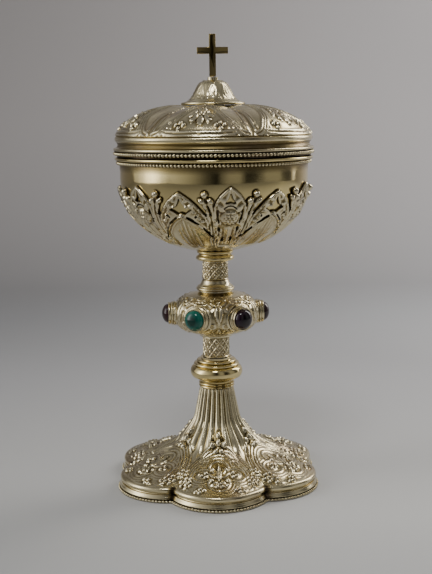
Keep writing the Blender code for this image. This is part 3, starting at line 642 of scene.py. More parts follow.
def build_lid(size, finish):
    """Make the lobed cover: moulded rim, chased dome and the bezel that drops into the bowl."""
    base, top = levels("lid")
    base += 2.6
    roll, wall = size["lid_roll"], size["lid_wall"]
    dome_base = base + 11.7
    bezel_outer = size["bowl_radius"] - size["bowl_wall"] - 0.4
    bezel_inner = bezel_outer - wall
    shares = np.array(LID_DOME)
    dome = curve(np.column_stack([shares[:, 0] * roll, dome_base + shares[:, 1] * (top - dome_base)]), 12)
    dome = spaced(dome, 0.55)
    rim = [(bezel_inner, base - 2.6), (bezel_outer, base - 2.6), (bezel_outer, base), (roll - 1.2, base)]
    rim += [(roll - 1.2, base + 1.4), (roll - 1.2, base + 2.9)]
    rim += arc((roll - 0.1, base + 3.85), 0.9, -85.0, 85.0, 6)
    rim += [(roll - 0.9, base + 4.9), (roll - 1.6, base + 5.6), (roll - 1.9, base + 6.6), (roll - 1.3, base + 7.4)]
    rim += [(roll - 1.15, base + 7.8)]
    rim += arc((roll - 1.8, base + 9.7), 1.8, -62.0, 68.0, 8)
    normals = outline_normals(dome)
    behind = dome - normals * (wall + 0.35)
    inside = [(bezel_inner, dome_base)] + [tuple(point) for point in behind[12::14] if point[0] > 4.0]
    outline = [(0.0, top - wall)] + inside[::-1] + rim + [tuple(point) for point in dome] + [(0.0, top)]
    mesh = spun("lid", outline, size["lid_columns"], LID_TURN)

    rows = stored(mesh, "row")
    radius, azimuth, height = polar(points_of(mesh))
    first_rim = 1 + len(inside)
    first = first_rim + len(rim)
    on_rim = (rows >= first_rim) & (rows < first)
    height -= np.where(on_rim | (radius < 0.01), 0.0, lid_drop(radius, azimuth, size))
    on_dome = (rows >= first) & (rows < first + len(dome))
    across, along = lobe_chart(radius, folded(azimuth - LID_TURN, LOBES))
    lift = np.zeros_like(radius)
    lift[on_dome] = lid_relief(across[on_dome], along[on_dome])
    radius, height = pushed(radius, height, rows, first, normals, lift)
    set_points(mesh, placed(radius, azimuth, height))
    # Painted shade darkens the rim behind the beads, and a painted dark reflection darkens the rim's cove
    tone_shift = np.where(on_rim & (height < base + 3.1) & (height > base - 0.1), 0.5, 0.0)
    tone_shift += np.where(on_rim & (height > base + 5.0) & (height < base + 7.9), 0.3, 0.0)
    store_recess(mesh, lift, 0.7, tone_shift)
    return finished("lid_chased", mesh, finish, ["lid"])


def build_bowl(size, finish):
    """Make the plain polished cup with its moulded lip."""
    base, top = levels("bowl")
    radius, depth, wall = size["bowl_radius"], size["bowl_depth"], size["bowl_wall"]
    middle = base + depth
    slants = np.radians(np.linspace(0.0, 90.0, 37))
    fine = np.radians(np.concatenate([np.linspace(0.0, 12.0, 4), np.linspace(13.0, 90.0, 87)]))
    outside = list(zip(radius * np.sin(fine), middle - depth * np.cos(fine)))
    outside += [(radius, middle + 4.0), (radius, top - 2.3)]
    outside += arc((radius + 2.1, top - 1.15), 0.9, -85.0, 85.0, 6)
    outside += [(radius + 1.2, top)]
    inner = radius - wall
    inside = [(inner, top), (inner, middle + 4.0)]
    inside += list(zip(inner * np.sin(slants[::-1]), middle - (depth - wall) * np.cos(slants[::-1])))
    mesh = spun("bowl", outside + inside, 504)
    rows = stored(mesh, "row")
    around, azimuth, height = polar(points_of(mesh))
    # Painted shade darkens the bowl where the calyx's edges stand over it, and under the lip
    cup = Cup(size)
    gap = calyx_fields(azimuth - CALYX_TURN, cup.travel_at(height - cup.base), cup)[0]
    shut = (rows < len(outside)) & (height < middle - 1.0)
    tone_shift = np.where(shut, 0.5 * smooth_share((0.75 - gap) / 0.6), 0.0)
    tone_shift += np.where((rows < len(outside)) & (height > top - 4.6) & (around < radius + 0.5), 0.45, 0.0)
    store_recess(mesh, np.zeros(len(mesh.vertices)), 1.0, tone_shift)
    return finished("bowl_polished", mesh, finish, ["bowl"])


def build_round_beads(node, size, finish):
    """Make a beaded wire round the lid or the bowl."""
    low, high = levels(node)
    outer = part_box(node)[1].x / MM
    radius, middle = outer - size["bead"] / 2.0 - 0.05, (low + high) / 2.0
    # One bead is repeated, and a thin wire inside joins them
    bm = bmesh.new()
    spot = Matrix.Translation((0.0, -radius * MM, middle * MM))
    bmesh.ops.create_icosphere(bm, subdivisions=2, radius=size["bead"] / 2.0 * MM, matrix=spot)
    repeat_round(bm, size["rim_beads"])
    bm.from_mesh(spun("core", small_ring(radius - 0.35, middle, 0.45), 240, ring=True))
    mesh = meshed(node, bm)
    around = polar(points_of(mesh))[0]
    # Painted light and shade: each bead is lighter on its outer side and darker on its inner side and on the joining
    # wire
    store_recess(mesh, 0.0 * around, 1.0, 0.35 - (around - radius) / size["bead"])
    return finished(node + "_beaded", mesh, finish, [node])


def build_foot_beads(size, finish):
    """Make the beaded wire that follows the foot's lobes."""
    bead, lift = size["foot_bead"], 0.1
    # The beads stand at even distances along the lobes' line, a little over the ground
    azimuths = np.linspace(-180.0, 180.0, 3601)
    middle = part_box("foot_bead_wire")[1].y / MM - bead / 2.0
    ring = foot_radius(np.full(azimuths.shape, middle), azimuths, size)
    path = placed(ring, azimuths, 0.0 * azimuths)[:, :2]
    lengths = way_along(path)
    places = np.arange(size["foot_beads"]) * lengths[-1] / size["foot_beads"]
    bm = bmesh.new()
    for x, y in zip(np.interp(places, lengths, path[:, 0]), np.interp(places, lengths, path[:, 1])):
        spot = Matrix.Translation((x * MM, y * MM, (lift + bead / 2.0) * MM))
        bmesh.ops.create_icosphere(bm, subdivisions=2, radius=bead / 2.0 * MM, matrix=spot)
    core = spun("core", small_ring(middle - 0.2, lift + bead / 2.0, 0.4), 360, ring=True)
    radius, azimuth, height = polar(points_of(core))
    set_points(core, placed(foot_radius(radius, azimuth, size), azimuth, height))
    bm.from_mesh(core)
    mesh = meshed("foot_beads", bm)
    radius, azimuth, height = polar(points_of(mesh))
    out = radius - foot_radius(np.full(azimuth.shape, middle), azimuth, size)
    # Painted light and shade: each bead is lighter on its outer side and darker on its inner side and on the joining
    # wire
    store_recess(mesh, 0.0 * radius, 1.0, 0.3 - out / bead)
    return finished("foot_bead_wire_beaded", mesh, finish, ["foot_bead_wire"])


class Cup:
    """The bowl's outer half-ellipse, measured along its curve from the bottom."""

    def __init__(self, size):
        self.base = levels("bowl")[0]
        slants = np.radians(np.linspace(0.0, 90.0, 721))
        radius, depth = size["bowl_radius"], size["bowl_depth"]
        self.radii = np.append(radius * np.sin(slants), radius)
        self.heights = np.append(depth * (1.0 - np.cos(slants)), depth + 10.0)
        self.travel = way_along(np.column_stack([self.radii, self.heights]))

    def travel_at(self, height):
        """Give the way along the curve to a height over the bottom."""
        return np.interp(height, self.heights, self.travel)

    def radius_at(self, travel):
        """Give the radius at a way along the curve."""
        return np.interp(travel, self.travel, self.radii)

    def drawn(self, points):
        """Turn (across, height) points into (across, way along the curve)."""
        return [(across, float(self.travel_at(height))) for across, height in points]

    def place(self, travel, azimuth, lift):
        """Give the points at a way along the curve, an angle and a lift off the metal."""
        step = 0.05
        ahead, behind = travel + step, np.maximum(travel - step, 0.0)
        along_r = self.radius_at(ahead) - self.radius_at(behind)
        along_z = np.interp(ahead, self.travel, self.heights) - np.interp(behind, self.travel, self.heights)
        size = np.hypot(along_r, along_z)
        radius = self.radius_at(travel) + lift * along_z / size
        height = self.base + np.interp(travel, self.travel, self.heights) - lift * along_r / size
        return placed(radius, azimuth, height)


def polygon_distance(across, along, points):
    """Give the distance to a closed polygon's outline, below nought inside it."""
    nearest = np.full(across.shape, FAR)
    inside = np.zeros(across.shape, bool)
    for (x0, y0), (x1, y1) in zip(points, points[1:] + points[:1]):
        nearest = np.minimum(nearest, to_segment(across, along, (x0, y0), (x1, y1)))
        crosses = (y0 > along) != (y1 > along)
        inside ^= crosses & (across < (x1 - x0) * (along - y0) / (y1 - y0 + 1e-12) + x0)
    return np.where(inside, -nearest, nearest)


def mirrored(points):
    """Close a half outline that starts and ends on its middle line with its mirror image."""
    return points + [(-across, along) for across, along in points[-2:0:-1]]


def calyx_fields(azimuth, travel, cup):
    """Give how far each point lies outside the pierced sheet, and the height of its relief."""
    turn = np.abs(folded(azimuth, LOBES))
    reach = DEGREE * cup.radius_at(travel)
    leaf, wide = turn * reach, (HALF_LOBE - turn) * reach
    lean = np.interp(travel, cup.travel_at([6.0, 12.0, 20.0, 27.0, 34.0]), [10.0, 10.4, 11.0, 12.3, 15.0])
    sprig = np.abs(turn - lean) * reach
    side = (turn - lean) * reach

    # The sheet: a narrow leaf, a wide leaf and a sprig with two balls between them
    leaf_outline = [(0.0, 39.4), (2.6, 37.6), (5.6, 34.8), (7.9, 31.6), (8.8, 28.6), (8.7, 25.6), (7.9, 21.8)]
    leaf_outline += [(6.9, 17.8), (5.9, 13.8), (4.7, 9.8), (3.9, 6.0), (0.0, 6.0)]
    wide_outline = [(0.0, 36.9), (3.2, 34.8), (6.4, 32.4), (9.2, 29.6), (11.6, 26.4), (13.4, 23.4), (13.6, 20.0)]
    wide_outline += [(13.0, 16.0), (12.4, 12.0), (12.0, 8.0), (12.0, 6.0), (0.0, 6.0)]
    leaf_edge = polygon_distance(leaf, travel, mirrored(cup.drawn(leaf_outline)))
    wide_edge = polygon_distance(wide, travel, mirrored(cup.drawn(wide_outline)))
    stems = Relief(sprig, travel)
    balls = circles(stems, [(0.0, float(cup.travel_at(35.4)), 1.95), (2.5, float(cup.travel_at(32.0)), 1.75)])
    stalk = stems.distance(cup.drawn([(0.0, 34.0), (0.9, 26.0), (0.8, 8.0)])) - 1.0
    arms = stems.distance(cup.drawn([(2.5, 32.0), (1.2, 27.0)])) - 0.9
    sheet = np.minimum.reduce([leaf_edge, wide_edge, balls, stalk, arms, travel - cup.travel_at(8.2)])

    # The openings that are pierced through it
    on_leaf, on_wide = Relief(leaf, travel), Relief(wide, travel)
    star = mirrored(cup.drawn([(0.0, 36.9), (0.8, 34.8), (1.4, 33.0), (3.1, 31.2), (2.4, 30.3), (0.0, 30.8)]))
    window = mirrored(
        cup.drawn([(0.0, 34.2), (0.9, 31.6), (2.4, 29.2), (6.8, 27.4), (4.4, 26.2), (2.2, 24.6), (0.0, 25.4)])
    )
    holes = [
        polygon_distance(leaf, travel, star),
        on_leaf.distance(cup.drawn([(0.0, 29.5), (1.6, 29.2), (3.2, 28.0)])) - 0.42,
        on_leaf.distance(cup.drawn([(6.7, 27.4), (6.3, 23.8), (5.5, 20.6)])) - 0.5,
        on_leaf.distance(cup.drawn([(4.9, 17.8), (4.5, 15.6)])) - 0.5,
        on_leaf.distance(cup.drawn([(2.5, 11.8), (2.1, 9.4)])) - 0.75,
        polygon_distance(wide, travel, window),
        on_wide.distance(cup.drawn([(3.0, 23.5), (8.3, 19.9)])) - 0.55,
        on_wide.distance(cup.drawn([(10.4, 17.6), (13.8, 11.6)])) - 0.55,
        on_wide.distance(cup.drawn([(8.4, 24.4), (7.4, 23.2)])) - 0.6,
        stems.distance(cup.drawn([(0.0, 29.8), (0.0, 24.4)])) - 0.42,
        np.hypot(side + 2.1, travel - cup.travel_at(22.6)) - 0.45,
        np.hypot(side - 1.8, travel - cup.travel_at(25.2)) - 0.5,
    ]
    outside = np.maximum(sheet, -np.minimum.reduce(holes))

    # The narrow leaf's rim, veins and boss of berries
    on_leaf.wire(leaf_edge + 0.6, 0.62, 0.9)
    on_leaf.wire(np.abs(holes[0] - 0.6), 0.45, 0.4)
    on_leaf.leaf(*cup.drawn([(3.4, 26.2), (6.9, 30.4)]), 1.6, 1.0)
    on_leaf.leaf(*cup.drawn([(2.2, 31.6), (6.2, 33.4)]), 1.2, 0.8)
    on_leaf.leaf(*cup.drawn([(4.4, 21.2), (6.6, 18.0)]), 1.1, 0.8)
    on_leaf.rib(cup.drawn([(0.0, 17.6), (0.0, 7.6)]), 0.7, 0.9)
    on_leaf.rib(cup.drawn([(1.3, 17.2), (1.2, 7.6)]), 0.5, 0.6)
    on_leaf.rib(cup.drawn([(4.0, 16.0), (3.3, 9.0)]), 0.5, 0.7)
    on_leaf.pellets(cup.drawn([(6.0, 25.6), (5.2, 29.0)]), 0.9, 1.1)
    boss_height = float(cup.travel_at(23.2))
    boss = np.clip(1.0 - (np.hypot(leaf, travel - boss_height) / 5.0) ** 2, 0.0, 1.0)
    berries = Relief(leaf, travel)
    spots = [(0.0, 0.0), (2.0, 0.0), (1.0, 1.75), (1.0, -1.75), (3.0, 1.75), (3.0, -1.75), (4.0, 0.0)]
    spots += [(0.0, 3.5), (2.0, 3.5), (0.0, -3.5), (2.0, -3.5)]
    berries.pellets([(across, boss_height + up) for across, up in spots], 0.92, 1.0)
    on_leaf.raise_to(np.where(boss > 0.0, 1.2 * np.sqrt(boss) + berries.height * np.sqrt(boss), 0.0))
    on_leaf.wire(np.hypot(leaf, travel - cup.travel_at(1.5)) - 7.0, 0.55, 0.7, (0.0, 1.7, 3.4))

    # The wide leaf's rim, the lower leaf in front of it, veins and berries
    on_wide.wire(np.where(travel > cup.travel_at(17.0), wide_edge + 0.6, CLEAR), 0.62, 0.9)
    on_wide.wire(np.where(travel > cup.travel_at(25.0), holes[5] - 0.6, CLEAR), 0.45, 0.4)
    low_leaf = [(0.0, 24.3), (4.4, 22.0), (8.2, 18.8), (11.6, 14.6), (12.6, 10.6), (11.4, 7.4), (9.4, 4.6), (7.0, 3.0)]
    low_leaf = cup.drawn(low_leaf)
    on_wide.rib(low_leaf, 0.6, 0.9)
    on_wide.wire(on_wide.distance(low_leaf) - 1.6, 0.4, 0.35)
    on_wide.rib(cup.drawn([(0.0, 21.6), (0.0, 6.0)]), 0.5, 0.6)
    on_wide.rib(cup.drawn([(2.2, 19.4), (2.6, 13.0), (1.8, 6.0)]), 0.4, 0.45)
    on_wide.rib(cup.drawn([(4.6, 16.4), (5.0, 10.0), (3.4, 4.6)]), 0.4, 0.4)
    on_wide.leaf(*cup.drawn([(4.6, 28.6), (7.9, 30.2)]), 1.5, 1.0)
    on_wide.leaf(*cup.drawn([(2.6, 31.4), (4.6, 33.4)]), 1.0, 0.8)
    on_wide.pellets(cup.drawn([(7.4, 26.0), (9.0, 24.6), (9.4, 22.6), (3.6, 28.9)]), 0.95, 1.2)
    on_wide.pellets(cup.drawn([(10.8, 21.2)]), 1.2, 1.2)

    # The sprig, and the flutes round the calyx's foot
    stems.rib(cup.drawn([(0.9, 31.0), (1.0, 26.0), (0.9, 8.0)]), 0.55, 0.8)
    stems.rib(cup.drawn([(2.4, 31.0), (1.6, 27.0), (1.5, 22.0)]), 0.5, 0.6)
    stems.pellets(cup.drawn([(0.0, 35.4)]), 1.95, 2.0)
    stems.pellets(cup.drawn([(2.5, 32.0)]), 1.75, 1.7)
    relief = np.maximum.reduce([on_leaf.height * (leaf_edge < 0.1), on_wide.height * (wide_edge < 0.1), stems.height])
    low = np.clip((cup.travel_at(6.0) - travel) / 3.0, 0.0, 1.0)
    return outside, np.maximum(relief, 0.5 * np.abs(np.cos(np.radians(GADROONS / 2.0 * azimuth))) * low)


def build_calyx(size, finish):
    """Make the pierced leaf work: a grid cut to the leaves' outlines, thickened and raised."""
    cup = Cup(size)
    # The grid covers one repeat from low on the bowl to over the leaf tips, in faces about 0.6 mm wide
    start, end = 8.6, float(cup.travel_at(39.6))
    columns, rows, step = 84, round((end - start) / 0.62), 0.05
    bm = bmesh.new()
    bmesh.ops.create_grid(bm, x_segments=columns, y_segments=rows, size=1.0)

    def chart(points):
        return points[:, 0] * HALF_LOBE, start + (points[:, 1] + 1.0) / 2.0 * (end - start)

    centres = np.array([face.calc_center_median() for face in bm.faces])
    outside = calyx_fields(*chart(centres), cup)[0]
    bmesh.ops.delete(bm, geom=[face for face, gap in zip(bm.faces[:], outside) if gap > 0.0], context="FACES")
    edge_verts = [vert for vert in bm.verts if any(len(edge.link_faces) == 1 for edge in vert.link_edges)]
    spots = np.array([vert.co for vert in edge_verts])
    # The stepped border moves onto the true outline
    for _ in range(2):
        azimuth, travel = chart(spots)
        reach = DEGREE * cup.radius_at(travel)
        here = calyx_fields(azimuth, travel, cup)[0]
        slope_a = (calyx_fields(azimuth + step / reach, travel, cup)[0] - here) / step
        slope_t = (calyx_fields(azimuth, travel + step, cup)[0] - here) / step
        move = np.clip(here, -0.45, 0.45) / np.maximum(slope_a**2 + slope_t**2, 0.25)
        free = (np.abs(spots[:, 0]) < 0.999) & (spots[:, 1] > -0.999)
        spots[:, 0] -= np.where(free, move * slope_a / reach / HALF_LOBE, 0.0)
        spots[:, 1] -= np.where(spots[:, 1] > -0.999, move * slope_t * 2.0 / (end - start), 0.0)
    for vert, spot in zip(edge_verts, spots):
        vert.co = spot
    # The flat sheet wraps round the bowl, is repeated, and gets its thickness and relief
    travel_layer = bm.verts.layers.float.new("travel")
    top_layer = bm.verts.layers.int.new("top")
    azimuth, travel = chart(np.array([vert.co for vert in bm.verts]))
    for vert, way, spot in zip(bm.verts, travel, cup.place(travel, azimuth, size["calyx_stand_off"])):
        vert[travel_layer] = way
        vert.co = Vector(spot) * MM
    repeat_round(bm, LOBES)
    bmesh.ops.remove_doubles(bm, verts=bm.verts[:], dist=10.0 * WELD * MM)
    raised = bmesh.ops.extrude_face_region(bm, geom=bm.faces[:], use_keep_orig=True)
    for item in raised["geom"]:
        if isinstance(item, bmesh.types.BMVert):
            item[top_layer] = 1
    mesh = bpy.data.meshes.new("calyx")
    bmesh.ops.rotate(bm, verts=bm.verts[:], matrix=Matrix.Rotation(math.radians(CALYX_TURN), 3, "Z"))
    bm.to_mesh(mesh)
    bm.free()
    travel = stored(mesh, "travel", np.float32).astype(float)
    top = stored(mesh, "top")
    azimuth = polar(points_of(mesh))[1]
    relief = calyx_fields(azimuth - CALYX_TURN, travel, cup)[1]
    lift = np.where(top == 1, size["calyx_sheet"] + relief, 0.0)
    set_points(mesh, cup.place(travel, azimuth, size["calyx_stand_off"] + lift))
    bm = bmesh.new()
    bm.from_mesh(mesh)
    result = meshed("calyx", bm)
    # Painted shade on the sheet's walls and underside, with a painted highlight along its top edges; the relief adds
    # patina in its hollows
    store_recess(result, np.where(top == 1, relief, -0.5), 1.0)
    for name in ("travel", "top"):
        result.attributes.remove(result.attributes[name])
    return finished("calyx_pierced", result, finish, ["calyx"], 50.0)


def stone_frame(index):
    """Give the frame whose Z axis points out of the knop through a stone."""
    low, high = levels("knop")
    lean = Matrix.Rotation(math.radians(90.0), 4, "X")
    turn = Matrix.Rotation(math.radians(STONE_TURN + 360.0 / LOBES * index), 4, "Z")
    return Matrix.Translation((0.0, 0.0, (low + high) / 2.0 * MM)) @ turn @ lean


def knop_relief(across, between, along):
    """Raise the knop's scrollwork from distances to the nearest stone's line and to the line halfway."""
    # Rings and arcs round the stone's seat, with a panel of berries over it
    round_stone = Relief(across, along)
    ring = np.hypot(across, along)
    round_stone.wire(ring - 8.6, 0.50, 0.33)
    round_stone.wire(np.where(along > 4.5, np.hypot(across, along - 1.0) - 10.6, CLEAR), 0.54, 0.45)
    round_stone.wire(np.where(along > 8.0, np.hypot(across, along - 2.0) - 12.6, CLEAR), 0.41, 0.26)
    panel = (np.hypot(across / 4.6, (along - 11.2) / 2.2) - 1.0) * 2.6
    round_stone.wire(np.where(along > 0.0, panel, CLEAR), 0.45, 0.45)
    round_stone.wire(np.where(along < -6.5, np.hypot(across, along) - 10.6, CLEAR), 0.45, 0.33)
    round_stone.wire(np.where(along < -9.0, np.hypot(across, along) - 12.4, CLEAR), 0.41, 0.22)
    round_stone.pellets([(0.0, 11.2), (2.2, 11.1)], 0.8, 0.35)
    # The leaf spray between two stones, with its scrolls
    halfway = Relief(between, along)
    halfway.leaf((0.0, 10.0), (0.0, -3.4), 2.7, 1.0, 0.6)
    halfway.leaf((0.9, 7.2), (6.2, 4.4), 1.5, 0.60)
    halfway.leaf((0.8, 8.6), (4.6, 11.2), 1.3, 0.54)
    halfway.pellets([(0.0, 11.4), (3.4, 13.4)], 1.1, 0.70)
    halfway.wire(np.hypot(between - 4.0, along + 4.4) - 1.8, 0.45, 0.39)
    halfway.rib([(2.2, -4.4), (2.6, -7.2), (5.0, -9.4)], 0.45, 0.39)
    halfway.leaf((0.0, -13.2), (0.0, -6.6), 1.4, 0.60)
    halfway.leaf((0.7, -12.4), (3.4, -8.2), 1.1, 0.48)
    halfway.rib([(0.0, 14.6), (3.0, 14.9), (6.0, 14.4)], 0.45, 0.33)
    return np.maximum(round_stone.height, halfway.height)


def build_knop(size, finish):
    """Make the oblate knop, chased with scrolls and leaves, with a seat cut for each setting."""
    low, high = levels("knop")
    middle, half, full = (low + high) / 2.0, (high - low) / 2.0, size["knop_radius"]
    # The outline is a slightly squared oval that stops at the stems' radius
    squareness, neck = 2.3, 10.4
    up = np.sin(np.radians(np.linspace(-90.0, 90.0, 181)))
    swell = (1.0 - np.abs(up) ** squareness) ** (1.0 / squareness)
    profile = np.column_stack([np.maximum(full * swell, neck), middle + up * half])
    profile = spaced(profile[1:-1], 0.55)
    outline = [(0.0, low)] + [tuple(point) for point in profile] + [(0.0, high)]
    mesh = spun("knop", outline, 300, STONE_TURN)
    rows = stored(mesh, "row")
    radius, azimuth, height = polar(points_of(mesh))
    on_skin = (rows > 0) & (rows <= len(profile))
    lengths = way_along(profile)
    travelled = np.concatenate([[0.0], lengths - lengths[-1] / 2.0, [0.0]])
    angle = np.abs(folded(azimuth - STONE_TURN, LOBES))
    reach = DEGREE * radius
    fade = np.clip((half - np.abs(height - middle)) / 1.0, 0.0, 1.0)
    lift = np.where(on_skin, knop_relief(angle * reach, (HALF_LOBE - angle) * reach, travelled[rows]) * fade, 0.0)
    radius, height = pushed(radius, height, rows, 1, outline_normals(profile), lift - GROUND_SINK)
    set_points(mesh, placed(radius, azimuth, height))
    store_recess(mesh, lift, 0.8)
    knop = finished("knop_chased", mesh, finish, ["knop"])
    # The seats: round holes that the collets stand in
    bm = bmesh.new()
    seat, depth, away = (size["setting_radius"] + 0.25) * MM, 20.0 * MM, Matrix.Translation((0.0, 0.0, 32.0 * MM))
    for index in range(LOBES):
        spot = stone_frame(index) @ away
        bmesh.ops.create_cone(bm, cap_ends=True, segments=64, radius1=seat, radius2=seat, depth=depth, matrix=spot)
    cutter = linked("seats", meshed("seats", bm))
    cut = knop.modifiers.new("seats", "BOOLEAN")
    cut.solver = "EXACT"
    cut.object = cutter
    bpy.context.view_layer.update()
    evaluated = knop.evaluated_get(bpy.context.evaluated_depsgraph_get())
    cut_mesh = bpy.data.meshes.new_from_object(evaluated)
    knop.modifiers.remove(cut)
    knop.data = cut_mesh
    bpy.data.objects.remove(cutter)
    return knop


def build_settings(size, finish):
    """Make the six stepped collets round the stones."""
    outer, cup = size["setting_radius"], size["stone_radius"] + 0.3
    # (Radius, distance from the knop's axis) points
    outline = [(0.0, 22.3), (outer - 0.3, 22.3), (outer - 0.3, 23.9), (outer, 24.2), (outer, 24.9)]
    outline += [(outer - 0.35, 25.2), (outer - 0.6, 25.4), (outer - 0.35, 25.7), (outer - 0.3, 26.1)]
    outline += [(outer - 0.5, 26.5), (outer - 0.9, 26.7), (outer - 0.75, 27.1), (outer - 0.7, 27.9)]
    outline += [(outer - 0.85, 28.25), (outer - 1.1, 28.3)]
    outline += [(cup + 0.12, 28.2), (cup, 27.95), (cup, 26.5), (0.0, 26.5)]
    for index in range(LOBES):
        mesh = spun("setting", outline, 72)
        radius = polar(points_of(mesh))[0]
        store_recess(mesh, (radius - outer + 0.4) * 0.8, 1.2)
        mesh.transform(stone_frame(index))
        finished("setting_%d_collet" % (index + 1), mesh, finish, ["setting_%d" % (index + 1)], 30.0)


def build_stones(size):
    """Make the six domed cabochons."""
    radius = size["stone_radius"]
    # (Radius, distance from the knop's axis) points: a low girdle and a dome 3.8 mm high
    outline = [(0.0, 26.8), (radius - 0.15, 26.8), (radius, 26.95), (radius, 28.0)]
    turns = np.radians(np.linspace(0.0, 88.0, 16))
    outline += [(radius * math.cos(turn), 28.2 + 3.8 * math.sin(turn)) for turn in turns]
    outline += [(0.0, 32.0)]
    for index in range(LOBES):
        kind = STONES[index]
        mesh = spun("stone", outline, 56)
        # Painted light and shade: each stone's recess value grows from its middle to its rim
        store_recess(mesh, 0.0 * points_of(mesh)[:, 0], 1.0, polar(points_of(mesh))[0] / radius - 0.5)
        mesh.transform(stone_frame(index))
        node = "cabochon_%d" % (index + 1)
        finished(node + "_stone", mesh, cabochon(kind), [node], 60.0)


def lattice_relief(across, along, low, high, half):
    """Raise the engraved lozenges of a stem between two levels."""
    work = Relief(across, along)
    middle = (low + high) / 2.0
    work.rib([(0.0, low + 0.9), (half, middle), (0.0, high - 0.9)], 0.4, 0.45, steps=1)
    work.rib([(half, low + 0.9), (0.0, middle), (half, high - 0.9)], 0.4, 0.45, steps=1)
    quarter = (high - low) / 4.0
    for level in (low + quarter + 0.2, high - quarter - 0.2):
        work.pellets([(0.0, level), (half, level)], 0.85, 0.4)
        work.pellets([(half * 0.5, middle), (half * 0.5, 2.0 * level - middle)], 0.5, 0.3)
    work.wire(along - low - 0.45, 0.35, 0.5)
    work.wire(along - high + 0.45, 0.35, 0.5)
    return work.height


def build_turned(node, outline, finish):
    """Make a plain turned piece of the stem, with patina in its deeper steps."""
    name = node + "_turned"
    mesh = spun(name, outline, 144)
    radius = polar(points_of(mesh))[0]
    store_recess(mesh, (radius - radius.max()) * 0.12, 0.7)
    return finished(name, mesh, finish, [node], 35.0)


def build_engraved(node, outline, low, high, finish):
    """Make a tube of the stem with an engraved lattice between two levels."""
    name = node + "_engraved"
    mesh = spun(name, outline, 192)
    radius, azimuth, height = polar(points_of(mesh))
    reach = DEGREE * STEM_RADIUS
    inside = (height > low) & (height < high) & (radius > 5.0)
    angle = np.abs(folded(azimuth, LOBES))
    lattice = lattice_relief(angle * reach, height, low, high, HALF_LOBE * reach)
    lift = np.where(inside, lattice - GROUND_SINK, 0.0)
    set_points(mesh, placed(radius + lift, azimuth, height))
    store_recess(mesh, lift, 0.7)
    return finished(name, mesh, finish, [node], 35.0)


def build_stem(chased, polished):
    """Make the collars and the engraved tubes of the stem."""
    low, high = levels("lower_collar")
    points = [(0.0, low), (10.3, low)] + arc((10.0, low + 0.7), 0.7, -80.0, 80.0, 4) + [(9.7, low + 1.6)]
    points += arc((10.1, low + 2.3), 0.6, -80.0, 80.0, 4) + [(9.75, low + 3.2), (9.85, low + 4.2), (10.6, low + 5.1)]
    points += [(11.7, low + 5.6), (13.0, low + 5.75)]
    turns = np.radians(np.linspace(-78.0, 78.0, 17))
    points += [(13.0 + 2.6 * math.cos(turn), low + 9.3 + 3.6 * math.sin(turn)) for turn in turns]
    points += arc((12.7, low + 13.9), 0.85, -85.0, 85.0, 6) + arc((11.0, low + 15.9), 0.8, -85.0, 85.0, 6)
    points += [(10.0, low + 16.8), (9.2, low + 17.0), (9.2, high), (0.0, high)]
    build_turned("lower_collar", points, polished)

    low, high = levels("lower_stem")
    points = [(0.0, low)] + [(8.0, level) for level in np.linspace(low, high, 50)] + [(0.0, high)]
    build_engraved("lower_stem", points, low, high, chased)

    low, high = levels("upper_stem")
    points = [(0.0, low), (11.0, low)] + arc((10.7, low + 0.8), 0.72, -80.0, 80.0, 6) + [(10.6, low + 1.65)]
    points += arc((10.15, low + 2.05), 0.36, -60.0, 80.0, 5) + [(9.9, low + 2.5), (9.3, low + 2.9), (8.7, low + 3.6)]
    tube = low + 6.2
    points += [(8.25, low + 4.5), (7.95, low + 5.4), (7.8, tube)]
    rows = np.linspace(low + 6.4, high, 44)
    points += [(float(np.interp(level, [tube, high], [7.8, 7.4])), level) for level in rows] + [(0.0, high)]
    build_engraved("upper_stem", points, tube, high, chased)

    low, high = levels("upper_collar")
    points = [(0.0, low), (9.6, low)] + arc((9.8, low + 1.7), 1.5, -75.0, 75.0, 9)
    points += [(9.7, low + 3.4), (9.6, low + 3.8)] + arc((9.8, low + 5.1), 0.9, -80.0, 80.0, 7)
    points += [(8.4, low + 6.2), (7.4, low + 6.5), (7.4, high), (0.0, high)]
    build_turned("upper_collar", points, polished)


def bell_relief(across, along):
    """Raise the engraved petals of half a repeat of the bell."""
    work = Relief(across, along)
    work.rib([(0.0, 9.6), (1.5, 7.6), (1.9, 5.2), (1.2, 2.6), (0.0, 1.2)], 0.35, 0.16)
    work.rib([(3.4, 1.0), (3.0, 4.6), (1.6, 8.6), (0.9, 10.6)], 0.35, 0.16)
    work.pellets([(0.0, 4.6), (0.0, 2.8), (2.9, 2.0)], 0.6, 0.25)
    work.rib([(0.0, 0.6), (4.0, 0.6)], 0.35, 0.16)
    return work.height


